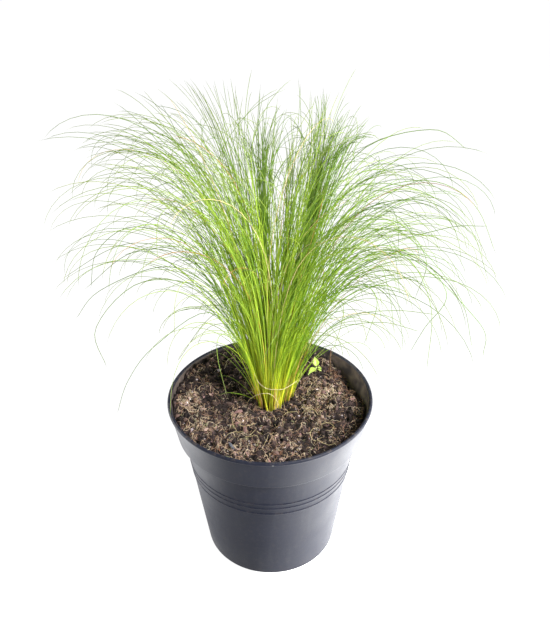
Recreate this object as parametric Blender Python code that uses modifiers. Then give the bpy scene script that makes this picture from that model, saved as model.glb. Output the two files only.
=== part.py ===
"""Potted mexican feather grass: nursery pot, potting soil, grass clump, seedling and dry stalk.

Metres, +Z up. The origin is the centre of the pot's underside, and -Y is the front.
"""
import math
import random

import bmesh
import bpy
import numpy as np
from mathutils import Vector

MM = 0.001
GAP = 0.3 * MM
NAME = "potted_mexican_feather_grass"

# pot
POT_SIDES = 40
POT_HEIGHT = 170 * MM
RIM_RADIUS = 95 * MM
LIP_INNER_RADIUS = 91.4 * MM
LIP_DEPTH = 4.0 * MM
BAND_TOP_RADIUS = 93.3 * MM
BAND_BOTTOM_RADIUS = 87.6 * MM
BAND_BOTTOM_Z = 135.6 * MM
BODY_TOP_RADIUS = 82.1 * MM
BASE_RADIUS = 64.0 * MM
WALL = 1.7 * MM
FLOOR = 2.0 * MM
RIDGE_HEIGHTS = (105.9 * MM, 100.2 * MM, 93.0 * MM)
RIDGE_HALF_WIDTH = 1.3 * MM
RIDGE_PROUD = 0.6 * MM
BASE_EDGE = 1.2 * MM
FOOT_INNER_RADIUS = 57.0 * MM
PAD_RADIUS = 26.0 * MM
RECESS = 1.0 * MM

# soil
SOIL_TOP = 158.7 * MM
SOIL_RINGS = (88.6, 83.0, 76.0, 68.0, 59.0, 50.0, 41.0, 33.0)
CROWN_FLAT_RADIUS = 34.0 * MM
LUMP = 1.9 * MM
PIT_ANGLE = math.radians(15)
PIT_HALF_ANGLE = math.radians(27)
PIT_RADIUS = 76 * MM
PIT_DEPTH = 14 * MM
PIT_WALL_GAP = 2.0 * MM
PIT_EDGE_SWING = 2.4 * MM
PIT_EDGE_WAVES = 9.0
PIT_SLOPE = 11 * MM
BANK_ANGLE = math.radians(112)
BANK_HALF_ANGLE = math.radians(82)
BANK_RADIUS = 34 * MM
BANK_REACH = 50 * MM
BANK_RISE = 8 * MM
SOIL_WALL_GAP = 0.9 * MM

# grass clump
LOCKS = 50
LOCK_SEED = 11
CROWN_CENTRE = (4.0 * MM, 9.0 * MM)
CROWN_HALF_WIDTH = 16.0 * MM
CROWN_HALF_DEPTH = 21.0 * MM
CROWN_SKEW = 5.0 * MM
FRONT_NARROWING = 0.30
TURN = math.pi * (3 - math.sqrt(5))
FIRST_TURN = 0.35
LOCK_STATIONS = (0.0, 0.012, 0.16, 0.32, 0.46, 0.59, 0.70, 0.80, 0.90, 1.0)
LOCK_RADII_MM = (1.7, 1.75, 2.1, 2.7, 3.2, 3.2, 2.9, 2.2, 1.4, 0.5)
LOCK_SHARE = 0.48
LOCK_LEAST_RADIUS = 0.12 * MM
LOCK_POINTS = 251
SPAN_POINTS = 24
LEAN_START = 0.008
LEAN_SPAN = 0.03

# stance of a lock by its place on the crown, angles in degrees
SIDE_LEAN = 15.3
BACK_LEAN = 8.0
FRONT_LEAN = 1.6
PARTING_RIGHT = 0.9
PARTING_LEFT = 4.2
PARTING_REACH = 0.62
ARCH_BACK = 0.84
ARCH_FRONT = 0.1
ARCH_BIAS_BACK = 0.05
ARCH_BIAS_SIDE = 0.16
ARCH_SWING = 0.10
ARCH_LEAST = 24.6
ARCH_GAIN = 112.0
ARCH_REACH = 0.48
ARCH_OF_BACK = 0.65
ARCH_SPREAD = 0.12
ARCH_FRONT_LOSS = 0.15
LATE_INNER = 3.8
LATE_RING_LOSS = 0.7
LATE_FRINGE_LOSS = 2.2
RIGHT_LEAN = 1.4
RIGHT_ARCH = 1.21
RIGHT_EARLIER = 0.13

# length of a lock by its place on the crown
LENGTH_MIDDLE = 254 * MM
LENGTH_SIDE_GAIN = 81 * MM
LENGTH_BACK_GAIN = 13 * MM
LENGTH_FRONT_LOSS = 12 * MM
LENGTH_RIGHT_LOSS = 22 * MM
LENGTH_FRINGE_LOSS = 146 * MM
FRINGE_START = 0.78
LENGTH_SPREAD = 0.03
LENGTH_FRINGE_SPREAD = 0.4

# the three upright sheaves: lean to the side and back, direction, arch, how late, length
SHEAVES = {
    1: (-2.2, 3.0, 1.2, 9.0, 2.6, 268 * MM),
    3: (3.6, 3.0, 1.3, 12.0, 2.4, 254 * MM),
    16: (8.6, 6.0, 0.9, 9.0, 2.4, 270 * MM),
}

# seedling and stalk
SEEDLING_BASE = (45.0 * MM, 42.0 * MM)
SEEDLING_STEM_HEIGHT = 5.0 * MM
SEEDLING_STEM_RADIUS = 0.55 * MM
STALK_BASE = (59.5 * MM, 45.0 * MM)
STALK_HEIGHT = 26.0 * MM
STALK_RADIUS = 0.7 * MM


def clear_scene():
    """Remove whatever objects the scene starts with."""
    for old in list(bpy.data.objects):
        bpy.data.objects.remove(old, do_unlink=True)


def material(name, colour, roughness):
    """One Principled material.

    Args: name; colour as linear RGB; roughness from 0 to 1.
    Returns: the material.
    """
    made = bpy.data.materials.new(name)
    made.use_nodes = True
    shader = made.node_tree.nodes["Principled BSDF"]
    shader.inputs["Base Color"].default_value = (*colour, 1.0)
    shader.inputs["Roughness"].default_value = roughness
    return made


def place(name, mesh, home, look, smooth=True):
    """Put a mesh in the scene as a named object.

    Args: name; mesh; home collection; look, a material; smooth shading or flat.
    Returns: the object.
    """
    made = bpy.data.objects.new(name, mesh)
    home.objects.link(made)
    mesh.materials.clear()
    mesh.materials.append(look)
    for face in mesh.polygons:
        face.use_smooth = smooth
    return made


def applied(thing):
    """Bake an object's modifiers into a plain closed mesh.

    Args: thing, an object that is in the scene.
    Returns: the same object.
    """
    graph = bpy.context.evaluated_depsgraph_get()
    baked = bpy.data.meshes.new_from_object(thing.evaluated_get(graph))
    old = thing.data
    thing.modifiers.clear()
    thing.data = baked
    bpy.data.meshes.remove(old)
    return thing


def turned(name, profile, home, look, steps):
    """Turn a profile about Z into a closed solid.

    Args: name; profile as (radius, height) pairs from the axis to the axis; home; look; steps.
    Returns: the object.
    """
    outline = bpy.data.meshes.new(name)
    points = [(radius, 0.0, height) for radius, height in profile]
    outline.from_pydata(points, [(i, i + 1) for i in range(len(points) - 1)], [])
    made = place(name, outline, home, look)
    screw = made.modifiers.new("turn", "SCREW")
    screw.axis = "Z"
    screw.angle = 2 * math.pi
    screw.steps = steps
    screw.render_steps = steps
    screw.use_merge_vertices = True
    screw.merge_threshold = 0.00005
    screw.use_smooth_shade = True
    return applied(made)


def body_radius(height):
    """Outer radius of the tapering body.

    Args: height above the underside.
    Returns: the radius there.
    """
    return BASE_RADIUS + (BODY_TOP_RADIUS - BASE_RADIUS) * height / BAND_BOTTOM_Z


def pot_profile():
    """Outline of the pot from the middle of its floor, over the lip and back to the axis.

    Returns: (radius, height) pairs.
    """
    band_inner_top = BAND_TOP_RADIUS - WALL
    band_inner_bottom = BAND_BOTTOM_RADIUS - WALL
    ledge = BAND_BOTTOM_Z + WALL
    inner = [
        (0.0, FLOOR),
        (body_radius(FLOOR) - WALL, FLOOR),
        (BODY_TOP_RADIUS - WALL, BAND_BOTTOM_Z - WALL),
        (band_inner_bottom, ledge),
        (band_inner_top, POT_HEIGHT - LIP_DEPTH - 1.5 * MM),
        (LIP_INNER_RADIUS, POT_HEIGHT - 1.6 * MM),
    ]
    lip = [
        (LIP_INNER_RADIUS + 0.9 * MM, POT_HEIGHT - 0.3 * MM),
        (LIP_INNER_RADIUS + 2.0 * MM, POT_HEIGHT),
        (RIM_RADIUS - 0.5 * MM, POT_HEIGHT - 0.7 * MM),
        (RIM_RADIUS, POT_HEIGHT - 2.0 * MM),
        (RIM_RADIUS - 0.4 * MM, POT_HEIGHT - 3.4 * MM),
        (BAND_TOP_RADIUS, POT_HEIGHT - LIP_DEPTH),
    ]
    outer = [
        (BAND_BOTTOM_RADIUS + 0.15 * MM, BAND_BOTTOM_Z + 0.8 * MM),
        (BAND_BOTTOM_RADIUS - 0.4 * MM, BAND_BOTTOM_Z),
        (BODY_TOP_RADIUS, BAND_BOTTOM_Z - 0.3 * MM),
    ]
    for height in RIDGE_HEIGHTS:
        for step, proud in ((1, 0.0), (0, RIDGE_PROUD), (-1, 0.0)):
            level = height + step * RIDGE_HALF_WIDTH
            outer.append((body_radius(level) + proud, level))
    foot = [
        (body_radius(BASE_EDGE), BASE_EDGE),
        (BASE_RADIUS - BASE_EDGE, 0.0),
        (FOOT_INNER_RADIUS, 0.0),
        (FOOT_INNER_RADIUS - RECESS, RECESS),
        (PAD_RADIUS + RECESS, RECESS),
        (PAD_RADIUS, 0.0),
        (0.0, 0.0),
    ]
    return inner + lip + outer + foot


def band_inner_radius(height):
    """Inner radius of the wall behind the band.

    Args: height above the underside.
    Returns: the radius there.
    """
    low = BAND_BOTTOM_Z + WALL
    high = POT_HEIGHT - LIP_DEPTH - 1.5 * MM
    share = (min(height, high) - low) / (high - low)
    return BAND_BOTTOM_RADIUS - WALL + (BAND_TOP_RADIUS - BAND_BOTTOM_RADIUS) * share


def pit_share(x, y):
    """How far the soil has sunk away from the wall at a place.

    Args: x and y.
    Returns: a share from 0 to 1.
    """
    azimuth = math.atan2(y, x)
    off = abs(azimuth - PIT_ANGLE) / PIT_HALF_ANGLE
    sideways = max(0.0, 1.0 - off * off)
    start = PIT_RADIUS + PIT_EDGE_SWING * math.sin(PIT_EDGE_WAVES * azimuth + 1.0)
    outward = min(1.0, max(0.0, (math.hypot(x, y) - start) / PIT_SLOPE))
    return sideways * outward


def bank_share(x, y):
    """How far the soil is banked up against the wall at a place.

    Args: x and y.
    Returns: a share from 0 to 1.
    """
    off = math.atan2(y, x) - BANK_ANGLE
    off = abs((off + math.pi) % (2 * math.pi) - math.pi) / BANK_HALF_ANGLE
    outward = min(1.0, max(0.0, (math.hypot(x, y) - BANK_RADIUS) / BANK_REACH))
    return max(0.0, 1.0 - off**4) * outward


def soil_height(x, y):
    """Height of the lumpy soil surface, flat under the crown.

    Args: x and y.
    Returns: the height above the underside.
    """
    radius = math.hypot(x, y)
    share = min(1.0, max(0.0, (radius - CROWN_FLAT_RADIUS) / (16 * MM)))
    lumps = 0.55 * math.sin(x / (9 * MM) + 0.6) * math.cos(y / (11 * MM) - 0.9)
    lumps += 0.45 * math.sin((x - 1.7 * y) / (13 * MM) + 2.0)
    edge = min(1.0, max(0.0, (radius - 78 * MM) / (14 * MM)))
    height = SOIL_TOP + share * (LUMP * lumps - 0.9 * MM)
    height += BANK_RISE * bank_share(x, y)
    return height - 1.5 * MM * edge - PIT_DEPTH * pit_share(x, y)


def make_soil(home, look):
    """Potting soil filling the pot, with a lumpy top.

    Args: home collection; look.
    Returns: the object.
    """
    floor = FLOOR + GAP
    wall = WALL + GAP
    band_inner = BAND_BOTTOM_RADIUS - wall
    profile = [(0.0, SOIL_TOP)]
    profile += [(radius * MM, SOIL_TOP) for radius in reversed(SOIL_RINGS)]
    profile += [
        (band_inner, BAND_BOTTOM_Z + WALL + 1.5 * GAP),
        (BODY_TOP_RADIUS - wall - GAP, BAND_BOTTOM_Z - WALL),
        (body_radius(floor) - wall - GAP, floor),
        (0.0, floor),
    ]
    soil = turned("soil", profile, home, look, POT_SIDES)
    for corner in soil.data.vertices:
        if corner.co.z < SOIL_TOP - MM:
            continue
        corner.co.z = soil_height(corner.co.x, corner.co.y)
        radius = math.hypot(corner.co.x, corner.co.y)
        share = pit_share(corner.co.x, corner.co.y)
        if radius > (SOIL_RINGS[0] - 1.0) * MM:
            room = band_inner_radius(corner.co.z) - SOIL_WALL_GAP - PIT_WALL_GAP * share
            corner.co.x *= room / radius
            corner.co.y *= room / radius
    return soil


def lock_shape(index, dice):
    """Stance of one lock of grass.

    Args: index of the lock from the crown's middle outwards; dice, the seeded random source.
    Returns: base x and y, lean to the side and to the back in degrees, arch direction in
        radians, arch in degrees, how late the arch comes, length.
    """
    ring = math.sqrt((index + 0.5) / LOCKS)
    angle = index * TURN + FIRST_TURN
    x = ring * math.cos(angle)
    y = ring * math.sin(angle)
    jitter = [dice.uniform(-1, 1) for _ in range(3)]
    front = max(0.0, -y)
    back = max(0.0, y)
    side = 1 if x > 0 else -1
    width = CROWN_HALF_WIDTH * (1 - FRONT_NARROWING * front)
    base_x = CROWN_CENTRE[0] + width * x + CROWN_SKEW * y
    base_y = CROWN_CENTRE[1] + CROWN_HALF_DEPTH * y
    inner = max(0.0, 1.0 - ring / PARTING_REACH)
    lean_side = SIDE_LEAN * x + inner * (PARTING_RIGHT if side > 0 else PARTING_LEFT)
    lean_back = BACK_LEAN * back - FRONT_LEAN * front
    arch_y = ARCH_BACK * back - ARCH_FRONT * front + ARCH_BIAS_BACK
    direction = math.atan2(arch_y, x + ARCH_BIAS_SIDE * side) + ARCH_SWING * jitter[0]
    sideways = abs(math.cos(direction))
    arch = ARCH_LEAST + ARCH_GAIN * (1 - math.exp(-((ring / ARCH_REACH) ** 2)))
    arch *= ARCH_OF_BACK + (1 - ARCH_OF_BACK) * sideways
    arch *= (1 + ARCH_SPREAD * jitter[1]) * (1 - ARCH_FRONT_LOSS * front)
    fringe = max(0.0, ring - FRINGE_START)
    late = LATE_INNER - LATE_RING_LOSS * ring - LATE_FRINGE_LOSS * fringe
    length = LENGTH_MIDDLE + LENGTH_SIDE_GAIN * ring * sideways
    length += LENGTH_BACK_GAIN * back - LENGTH_FRONT_LOSS * front
    length -= LENGTH_FRINGE_LOSS * fringe * sideways
    length *= 1 + (LENGTH_SPREAD + LENGTH_FRINGE_SPREAD * fringe) * jitter[2]
    if side > 0:
        lean_side += RIGHT_LEAN * x
        arch *= RIGHT_ARCH
        late -= RIGHT_EARLIER
        length -= LENGTH_RIGHT_LOSS * ring * sideways
    if index in SHEAVES:
        return base_x, base_y, *SHEAVES[index]
    return base_x, base_y, lean_side, lean_back, direction, arch, late, length


def lock_axis(shape, foot, count):
    """Middle line of one lock.

    Args: shape, from lock_shape; foot, the height of its lower end; count of points.
    Returns: an array of points, evenly spaced along the line.
    """
    base_x, base_y, lean_side, lean_back, direction, arch, late, length = shape
    share = np.linspace(0.0, 1.0, count)
    ramp = np.clip((share - LEAN_START) / LEAN_SPAN, 0.0, 1.0)
    bend = np.radians(arch * share**late)
    tilt_x = math.radians(lean_side) * ramp + bend * math.cos(direction)
    tilt_y = math.radians(lean_back) * ramp + bend * math.sin(direction)
    tilt = np.hypot(tilt_x, tilt_y) + 1e-9
    headings = np.stack(
        [np.sin(tilt) * tilt_x / tilt, np.sin(tilt) * tilt_y / tilt, np.cos(tilt)], axis=-1
    )
    steps = (headings[1:] + headings[:-1]) / 2 * (length / (count - 1))
    line = np.vstack([np.zeros(3), np.cumsum(steps, axis=0)])
    return line + np.array([base_x, base_y, foot])


def filled_in(stations):
    """Points all along the straight spans between a lock's stations.

    Args: stations, an array of points.
    Returns: an array of points, SPAN_POINTS for each span and the last station.
    """
    steps = np.linspace(0.0, 1.0, SPAN_POINTS, endpoint=False)[:, None]
    spans = [low + (high - low) * steps for low, high in zip(stations[:-1], stations[1:])]
    return np.vstack([*spans, stations[-1:]])


def lock_radii(lines, index):
    """Half thickness of one lock at its stations, kept clear of its neighbours.

    Args: lines, the filled-in middle lines of all locks; index of this one.
    Returns: a list of radii.
    """
    others = np.vstack([line for other, line in enumerate(lines) if other != index])
    room = [float(np.min(np.linalg.norm(others - here, axis=1))) for here in lines[index]]
    radii = []
    for station, wanted in enumerate(LOCK_RADII_MM):
        first = max(0, (station - 1) * SPAN_POINTS)
        nearest = min(room[first : (station + 1) * SPAN_POINTS + 1])
        radii.append(min(wanted * MM, max(LOCK_LEAST_RADIUS, LOCK_SHARE * (nearest - GAP))))
    return radii


def tube(name, points, radii, home, look, roundness=1):
    """A closed tube of changing thickness along a line.

    Args: name; points; radii; home collection; look; roundness, the bevel resolution.
    Returns: the object.
    """
    curve = bpy.data.curves.new(name + "_line", "CURVE")
    curve.dimensions = "3D"
    curve.bevel_depth = MM
    curve.bevel_resolution = roundness
    curve.use_fill_caps = True
    spline = curve.splines.new("POLY")
    spline.points.add(len(points) - 1)
    for slot, point, radius in zip(spline.points, points, radii):
        slot.co = (*point, 1.0)
        slot.radius = radius / MM
    holder = bpy.data.objects.new(name + "_line", curve)
    home.objects.link(holder)
    graph = bpy.context.evaluated_depsgraph_get()
    mesh = bpy.data.meshes.new_from_object(holder.evaluated_get(graph))
    bpy.data.objects.remove(holder, do_unlink=True)
    bpy.data.curves.remove(curve)
    joined = bmesh.new()
    joined.from_mesh(mesh)
    bmesh.ops.remove_doubles(joined, verts=joined.verts, dist=0.00002)
    bmesh.ops.recalc_face_normals(joined, faces=joined.faces)
    joined.to_mesh(mesh)
    joined.free()
    return place(name, mesh, home, look)


def make_grass(home, look):
    """The clump: locks standing in a seed-head spiral on the crown, fanning out and arching.

    Args: home collection; look.
    """
    dice = random.Random(LOCK_SEED)
    shapes = [lock_shape(index, dice) for index in range(LOCKS)]
    axes = [lock_axis(shape, SOIL_TOP + GAP, LOCK_POINTS) for shape in shapes]
    picks = [round(share * (LOCK_POINTS - 1)) for share in LOCK_STATIONS]
    stations = [axis[picks] for axis in axes]
    lines = [filled_in(points) for points in stations]
    for index, points in enumerate(stations):
        radii = lock_radii(lines, index)
        tube(f"grass_tuft_{index + 1:02d}", points, radii, home, look)


def highest(soil, x, y, reach):
    """Highest soil under a small round footprint.

    Args: soil object; x and y; reach, the footprint's radius.
    Returns: the height.
    """
    found = []
    for turn in range(9):
        away = 0.0 if turn == 8 else reach
        angle = turn * math.pi / 4
        start = Vector((x + away * math.cos(angle), y + away * math.sin(angle), 1.0))
        hit, place_, _, _ = soil.ray_cast(start, Vector((0, 0, -1)))
        if hit:
            found.append(place_.z)
    return max(found)


def leaf(name, base, azimuth, rise, length, width, home, look):
    """A small pointed leaf, arched along its length and folded along its midrib.

    Args: name; base point; azimuth and rise in degrees; length; width; home; look.
    Returns: the object.
    """
    thickness = 0.5 * MM
    turn = math.radians(azimuth)
    lift = math.radians(rise)
    along = Vector((math.cos(turn) * math.cos(lift), math.sin(turn) * math.cos(lift), math.sin(lift)))
    across = Vector((-math.sin(turn), math.cos(turn), 0.0))
    up = along.cross(across)
    sheet = bmesh.new()
    rows = []
    for share, half in ((0.0, 0.16), (0.22, 0.72), (0.48, 1.0), (0.76, 0.66), (1.0, 0.1)):
        row = []
        arch = 0.28 * share * (1 - share) - 0.10 * share * share
        for side in (-1, 0, 1):
            fold = 0.16 * half * abs(side)
            spot = Vector(base) + along * length * share
            spot += across * side * half * width / 2
            spot += up * (length * arch + fold * width)
            row.append(sheet.verts.new(spot))
        rows.append(row)
    for low, high in zip(rows[:-1], rows[1:]):
        for side in (0, 1):
            sheet.faces.new((low[side], high[side], high[side + 1], low[side + 1]))
    bmesh.ops.recalc_face_normals(sheet, faces=sheet.faces)
    mesh = bpy.data.meshes.new(name)
    sheet.to_mesh(mesh)
    sheet.free()
    made = place(name, mesh, home, look)
    solid = made.modifiers.new("thickness", "SOLIDIFY")
    solid.thickness = thickness
    solid.offset = 0.0
    return applied(made)


def make_seedling(home, soil, stem_look, leaf_look):
    """The small weed to the right of the crown.

    Args: home collection; soil object; stem_look; leaf_look.
    """
    x, y = SEEDLING_BASE
    foot = highest(soil, x, y, SEEDLING_STEM_RADIUS) + GAP
    top = foot + SEEDLING_STEM_HEIGHT
    line = [(x, y, foot), (x + 0.1 * MM, y, foot + 1.6 * MM), (x + 0.7 * MM, y + 0.7 * MM, top)]
    tube("seedling_stem", line, [SEEDLING_STEM_RADIUS] * 3, home, stem_look)
    head = (x + 0.7 * MM, y + 0.7 * MM)
    leaves = (
        (105, 50, 9.2, 6.0, (0.0, 1.1, 0.9)),
        (223, -14, 10.6, 5.4, (-1.0, -0.9, -0.2)),
        (-40, 6, 4.9, 2.6, (1.2, -0.6, 0.4)),
        (-22, -10, 4.6, 2.2, (1.0, -0.6, -2.0)),
    )
    for number, (azimuth, rise, length, width, shift) in enumerate(leaves, start=1):
        base = (head[0] + shift[0] * MM, head[1] + shift[1] * MM, top + shift[2] * MM)
        leaf(
            f"seedling_leaf_{number}", base, azimuth, rise, length * MM, width * MM, home, leaf_look
        )


def make_stalk(home, soil, look):
    """The dry stalk behind the seedling.

    Args: home collection; soil object; look.
    """
    x, y = STALK_BASE
    foot = highest(soil, x, y, STALK_RADIUS) + GAP
    line = [
        (x, y, foot),
        (x, y, foot + 2.0 * MM),
        (x - 0.3 * MM, y + 0.4 * MM, foot + 0.55 * STALK_HEIGHT),
        (x + 0.4 * MM, y + 0.9 * MM, foot + STALK_HEIGHT),
    ]
    radii = [STALK_RADIUS, STALK_RADIUS, 0.85 * STALK_RADIUS, 0.6 * STALK_RADIUS]
    tube("dead_stalk", line, radii, home, look)


def main():
    """Build every piece."""
    clear_scene()
    home = bpy.data.collections.new(NAME)
    bpy.context.scene.collection.children.link(home)
    plastic = material("pot_plastic", (0.075, 0.08, 0.105), 0.5)
    earth = material("soil", (0.045, 0.03, 0.02), 0.95)
    green = material("grass", (0.24, 0.36, 0.045), 0.55)
    young = material("seedling", (0.42, 0.52, 0.09), 0.5)
    dry = material("dry_stalk", (0.22, 0.12, 0.05), 0.8)
    turned("pot", pot_profile(), home, plastic, POT_SIDES)
    soil = make_soil(home, earth)
    make_grass(home, green)
    make_seedling(home, soil, young, young)
    make_stalk(home, soil, dry)


main()
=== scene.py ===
"""Potted mexican feather grass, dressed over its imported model.

Metres, +Z up, -Y the front, and the origin at the centre of the pot's underside. The pieces
keep their own sizes and places in millimetres.
"""

import logging
import math
from collections.abc import Sequence
from dataclasses import dataclass, field, replace
from enum import Enum
from random import Random
from typing import Any, ClassVar

import bmesh
import bpy
import numpy as np
from mathutils import Matrix, Vector, noise


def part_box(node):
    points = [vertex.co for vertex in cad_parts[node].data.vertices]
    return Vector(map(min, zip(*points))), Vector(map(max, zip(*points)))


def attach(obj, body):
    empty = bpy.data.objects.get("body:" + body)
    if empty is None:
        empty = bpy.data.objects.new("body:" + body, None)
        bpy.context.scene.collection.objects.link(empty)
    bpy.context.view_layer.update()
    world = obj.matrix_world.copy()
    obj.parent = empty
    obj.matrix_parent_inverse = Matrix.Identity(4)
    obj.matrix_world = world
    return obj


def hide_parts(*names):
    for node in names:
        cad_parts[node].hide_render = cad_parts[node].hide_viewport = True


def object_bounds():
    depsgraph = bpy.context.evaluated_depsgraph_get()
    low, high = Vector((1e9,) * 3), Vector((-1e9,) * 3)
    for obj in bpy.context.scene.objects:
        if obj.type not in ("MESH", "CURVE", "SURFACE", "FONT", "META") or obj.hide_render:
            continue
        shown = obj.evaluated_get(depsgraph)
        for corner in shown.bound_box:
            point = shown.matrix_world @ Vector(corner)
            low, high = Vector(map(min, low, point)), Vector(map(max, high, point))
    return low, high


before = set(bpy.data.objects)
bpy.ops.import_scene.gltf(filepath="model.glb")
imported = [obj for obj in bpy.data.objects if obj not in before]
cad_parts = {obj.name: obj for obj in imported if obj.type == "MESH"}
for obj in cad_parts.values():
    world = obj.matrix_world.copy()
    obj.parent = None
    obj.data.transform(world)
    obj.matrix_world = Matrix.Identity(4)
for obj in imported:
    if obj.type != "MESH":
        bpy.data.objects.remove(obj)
CAD_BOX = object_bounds()

MM = 0.001
BODY = "root"
FULL_TURN = 2 * math.pi
GOLDEN_TURN = math.pi * (3.0 - math.sqrt(5.0))
CROWN = (4.0, 9.0)
UP = np.array([0.0, 0.0, 1.0])
LOG = logging.getLogger("feather_grass")

Colour = tuple[float, float, float]
Point = tuple[float, float, float]
Socket = bpy.types.NodeSocket


class Growth(Enum):
    """State of a blade, and the material slot that it takes."""

    GREEN = 0
    STRAW = 1


class Litter(Enum):
    """What lies in the soil, each with the tone that picks its colour."""

    PEAT = 0.08
    HUMUS = 0.30
    TWIG = 0.48
    BARK = 0.62
    TAN = 0.76
    MOSS = 0.86
    SLATE = 0.92
    CHALK = 0.97


def clamped(value: float, low: float = 0.0, high: float = 1.0) -> float:
    """Keep a value between two limits."""
    return min(high, max(low, value))


class Wiring:
    """Lays nodes into one node tree and joins them."""

    def __init__(self, tree: bpy.types.NodeTree) -> None:
        """Keep the tree to fill."""
        self.tree = tree

    def feed(self, socket: Socket, value: Any) -> None:
        """Give an input a socket to read or a value of its own.

        Args:
            socket: the input.
            value: an output socket, a number, a colour or a vector.
        """
        if isinstance(value, Socket):
            self.tree.links.new(value, socket)
        elif isinstance(value, tuple) and socket.type == "RGBA" and len(value) == 3:
            socket.default_value = (*value, 1.0)
        else:
            socket.default_value = value

    def add(
        self, kind: str, settings: dict[str, Any] | None = None, *values: Any, **inputs: Any
    ) -> bpy.types.Node:
        """Add one node, set it up and feed its inputs.

        Args:
            kind: the node's class name without its ShaderNode prefix.
            settings: the node's own properties.
            *values: values or sockets by input number.
            **inputs: values or sockets by input name, underscores for spaces.

        Returns:
            The node.
        """
        node = self.tree.nodes.new("ShaderNode" + kind)
        for name, value in (settings or {}).items():
            setattr(node, name, value)
        for number, value in enumerate(values):
            self.feed(node.inputs[number], value)
        for name, value in inputs.items():
            self.feed(node.inputs[name.replace("_", " ")], value)
        return node

    def maths(self, operation: str, first: Any, second: Any = 0.0) -> Socket:
        """Work out one Math node's operation on one or two values."""
        return self.add("Math", {"operation": operation}, first, second).outputs[0]

    def vector(self, operation: str, *values: Any, **inputs: Any) -> Socket:
        """Work out one operation on vectors.

        Args:
            operation: the Vector Math node's operation.
            *values: its vectors.
            **inputs: its other inputs by name.

        Returns:
            The result's socket, a number for a distance or a dot product.
        """
        node = self.add("VectorMath", {"operation": operation}, *values, **inputs)
        return node.outputs["Value" if operation in ("DISTANCE", "DOT_PRODUCT") else "Vector"]

    def blend(self, share: Any, low: Any, high: Any, method: str = "MIX") -> Socket:
        """Mix two colours.

        Args:
            share: how much of the second colour.
            low: the first colour.
            high: the second colour.
            method: the blend type.

        Returns:
            The mixed colour's socket.
        """
        node = self.add("Mix", {"data_type": "RGBA", "blend_type": method}, share)
        self.feed(node.inputs[6], low)
        self.feed(node.inputs[7], high)
        return node.outputs[2]

    def shaded(self, colour: Any, strength: Any) -> Socket:
        """Darken or brighten a colour by a factor."""
        grey = self.add("CombineColor", Red=strength, Green=strength, Blue=strength).outputs[0]
        return self.blend(1.0, colour, grey, "MULTIPLY")

    def ramp(
        self, value: Any, stops: Sequence[tuple[float, Colour]], sharp: bool = False
    ) -> Socket:
        """Turn a value into a colour.

        Args:
            value: what picks the colour, from 0 to 1.
            stops: places and their colours.
            sharp: hold each colour until the next place.

        Returns:
            The colour's socket.
        """
        node = self.add("ValToRGB", None, value)
        band = node.color_ramp
        band.interpolation = "CONSTANT" if sharp else "LINEAR"
        while len(band.elements) < len(stops):
            band.elements.new(0.5)
        for element, (place, colour) in zip(band.elements, stops):
            element.position = place
            element.color = (*colour, 1.0)
        return node.outputs[0]

    def remap(
        self, value: Any, low: float, high: float, to_low: float = 0.0, to_high: float = 1.0
    ) -> Socket:
        """Stretch the range from low to high over that from to_low to to_high, clamped."""
        return self.add("MapRange", None, value, low, high, to_low, to_high).outputs[0]


def start_group(
    name: str, inputs: dict[str, str], outputs: dict[str, str]
) -> tuple[Wiring, Any, Any]:
    """Open a new shader node group.

    Args:
        name: the group's name.
        inputs: the socket kind of each input by name.
        outputs: the socket kind of each output by name.

    Returns:
        The wiring of the group, its input sockets and its output sockets.
    """
    tree = bpy.data.node_groups.new(name, "ShaderNodeTree")
    for way, sockets in (("INPUT", inputs), ("OUTPUT", outputs)):
        for label, kind in sockets.items():
            tree.interface.new_socket(label, in_out=way, socket_type="NodeSocket" + kind)
    entry = tree.nodes.new("NodeGroupInput")
    leave = tree.nodes.new("NodeGroupOutput")
    return Wiring(tree), entry.outputs, leave.inputs


def uneven_colour() -> bpy.types.NodeTree:
    """Group the nodes for soft uneven colouring.

    Returns:
        The group.
    """
    wiring, given, out = start_group(
        "uneven_colour",
        {"Vector": "Vector", "Base": "Color", "Patch": "Color", "Scale": "Float", "Spread": "Float"},
        {"Color": "Color", "Mask": "Float"},
    )
    cloud = wiring.add(
        "TexNoise", Vector=given["Vector"], Scale=given["Scale"], Detail=5.0, Roughness=0.62
    )
    low = wiring.maths("SUBTRACT", 0.5, given["Spread"])
    high = wiring.maths("ADD", 0.5, given["Spread"])
    mask = wiring.remap(cloud.outputs[0], low, high)
    wiring.feed(out["Color"], wiring.blend(mask, given["Base"], given["Patch"]))
    wiring.feed(out["Mask"], mask)
    return wiring.tree


def surface_grain() -> bpy.types.NodeTree:
    """Group the nodes for fine surface grain over a slower unevenness.

    Returns:
        The group.
    """
    wiring, given, out = start_group(
        "surface_grain",
        {"Vector": "Vector", "Fine": "Float", "Slow": "Float", "Slow share": "Float"},
        {"Height": "Float"},
    )
    fine = wiring.add("TexNoise", Vector=given["Vector"], Scale=given["Fine"], Detail=2.0)
    slow = wiring.add("TexNoise", Vector=given["Vector"], Scale=given["Slow"], Detail=3.0)
    lift = wiring.maths("MULTIPLY", slow.outputs[0], given["Slow share"])
    wiring.feed(out["Height"], wiring.maths("ADD", fine.outputs[0], lift))
    return wiring.tree


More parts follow.
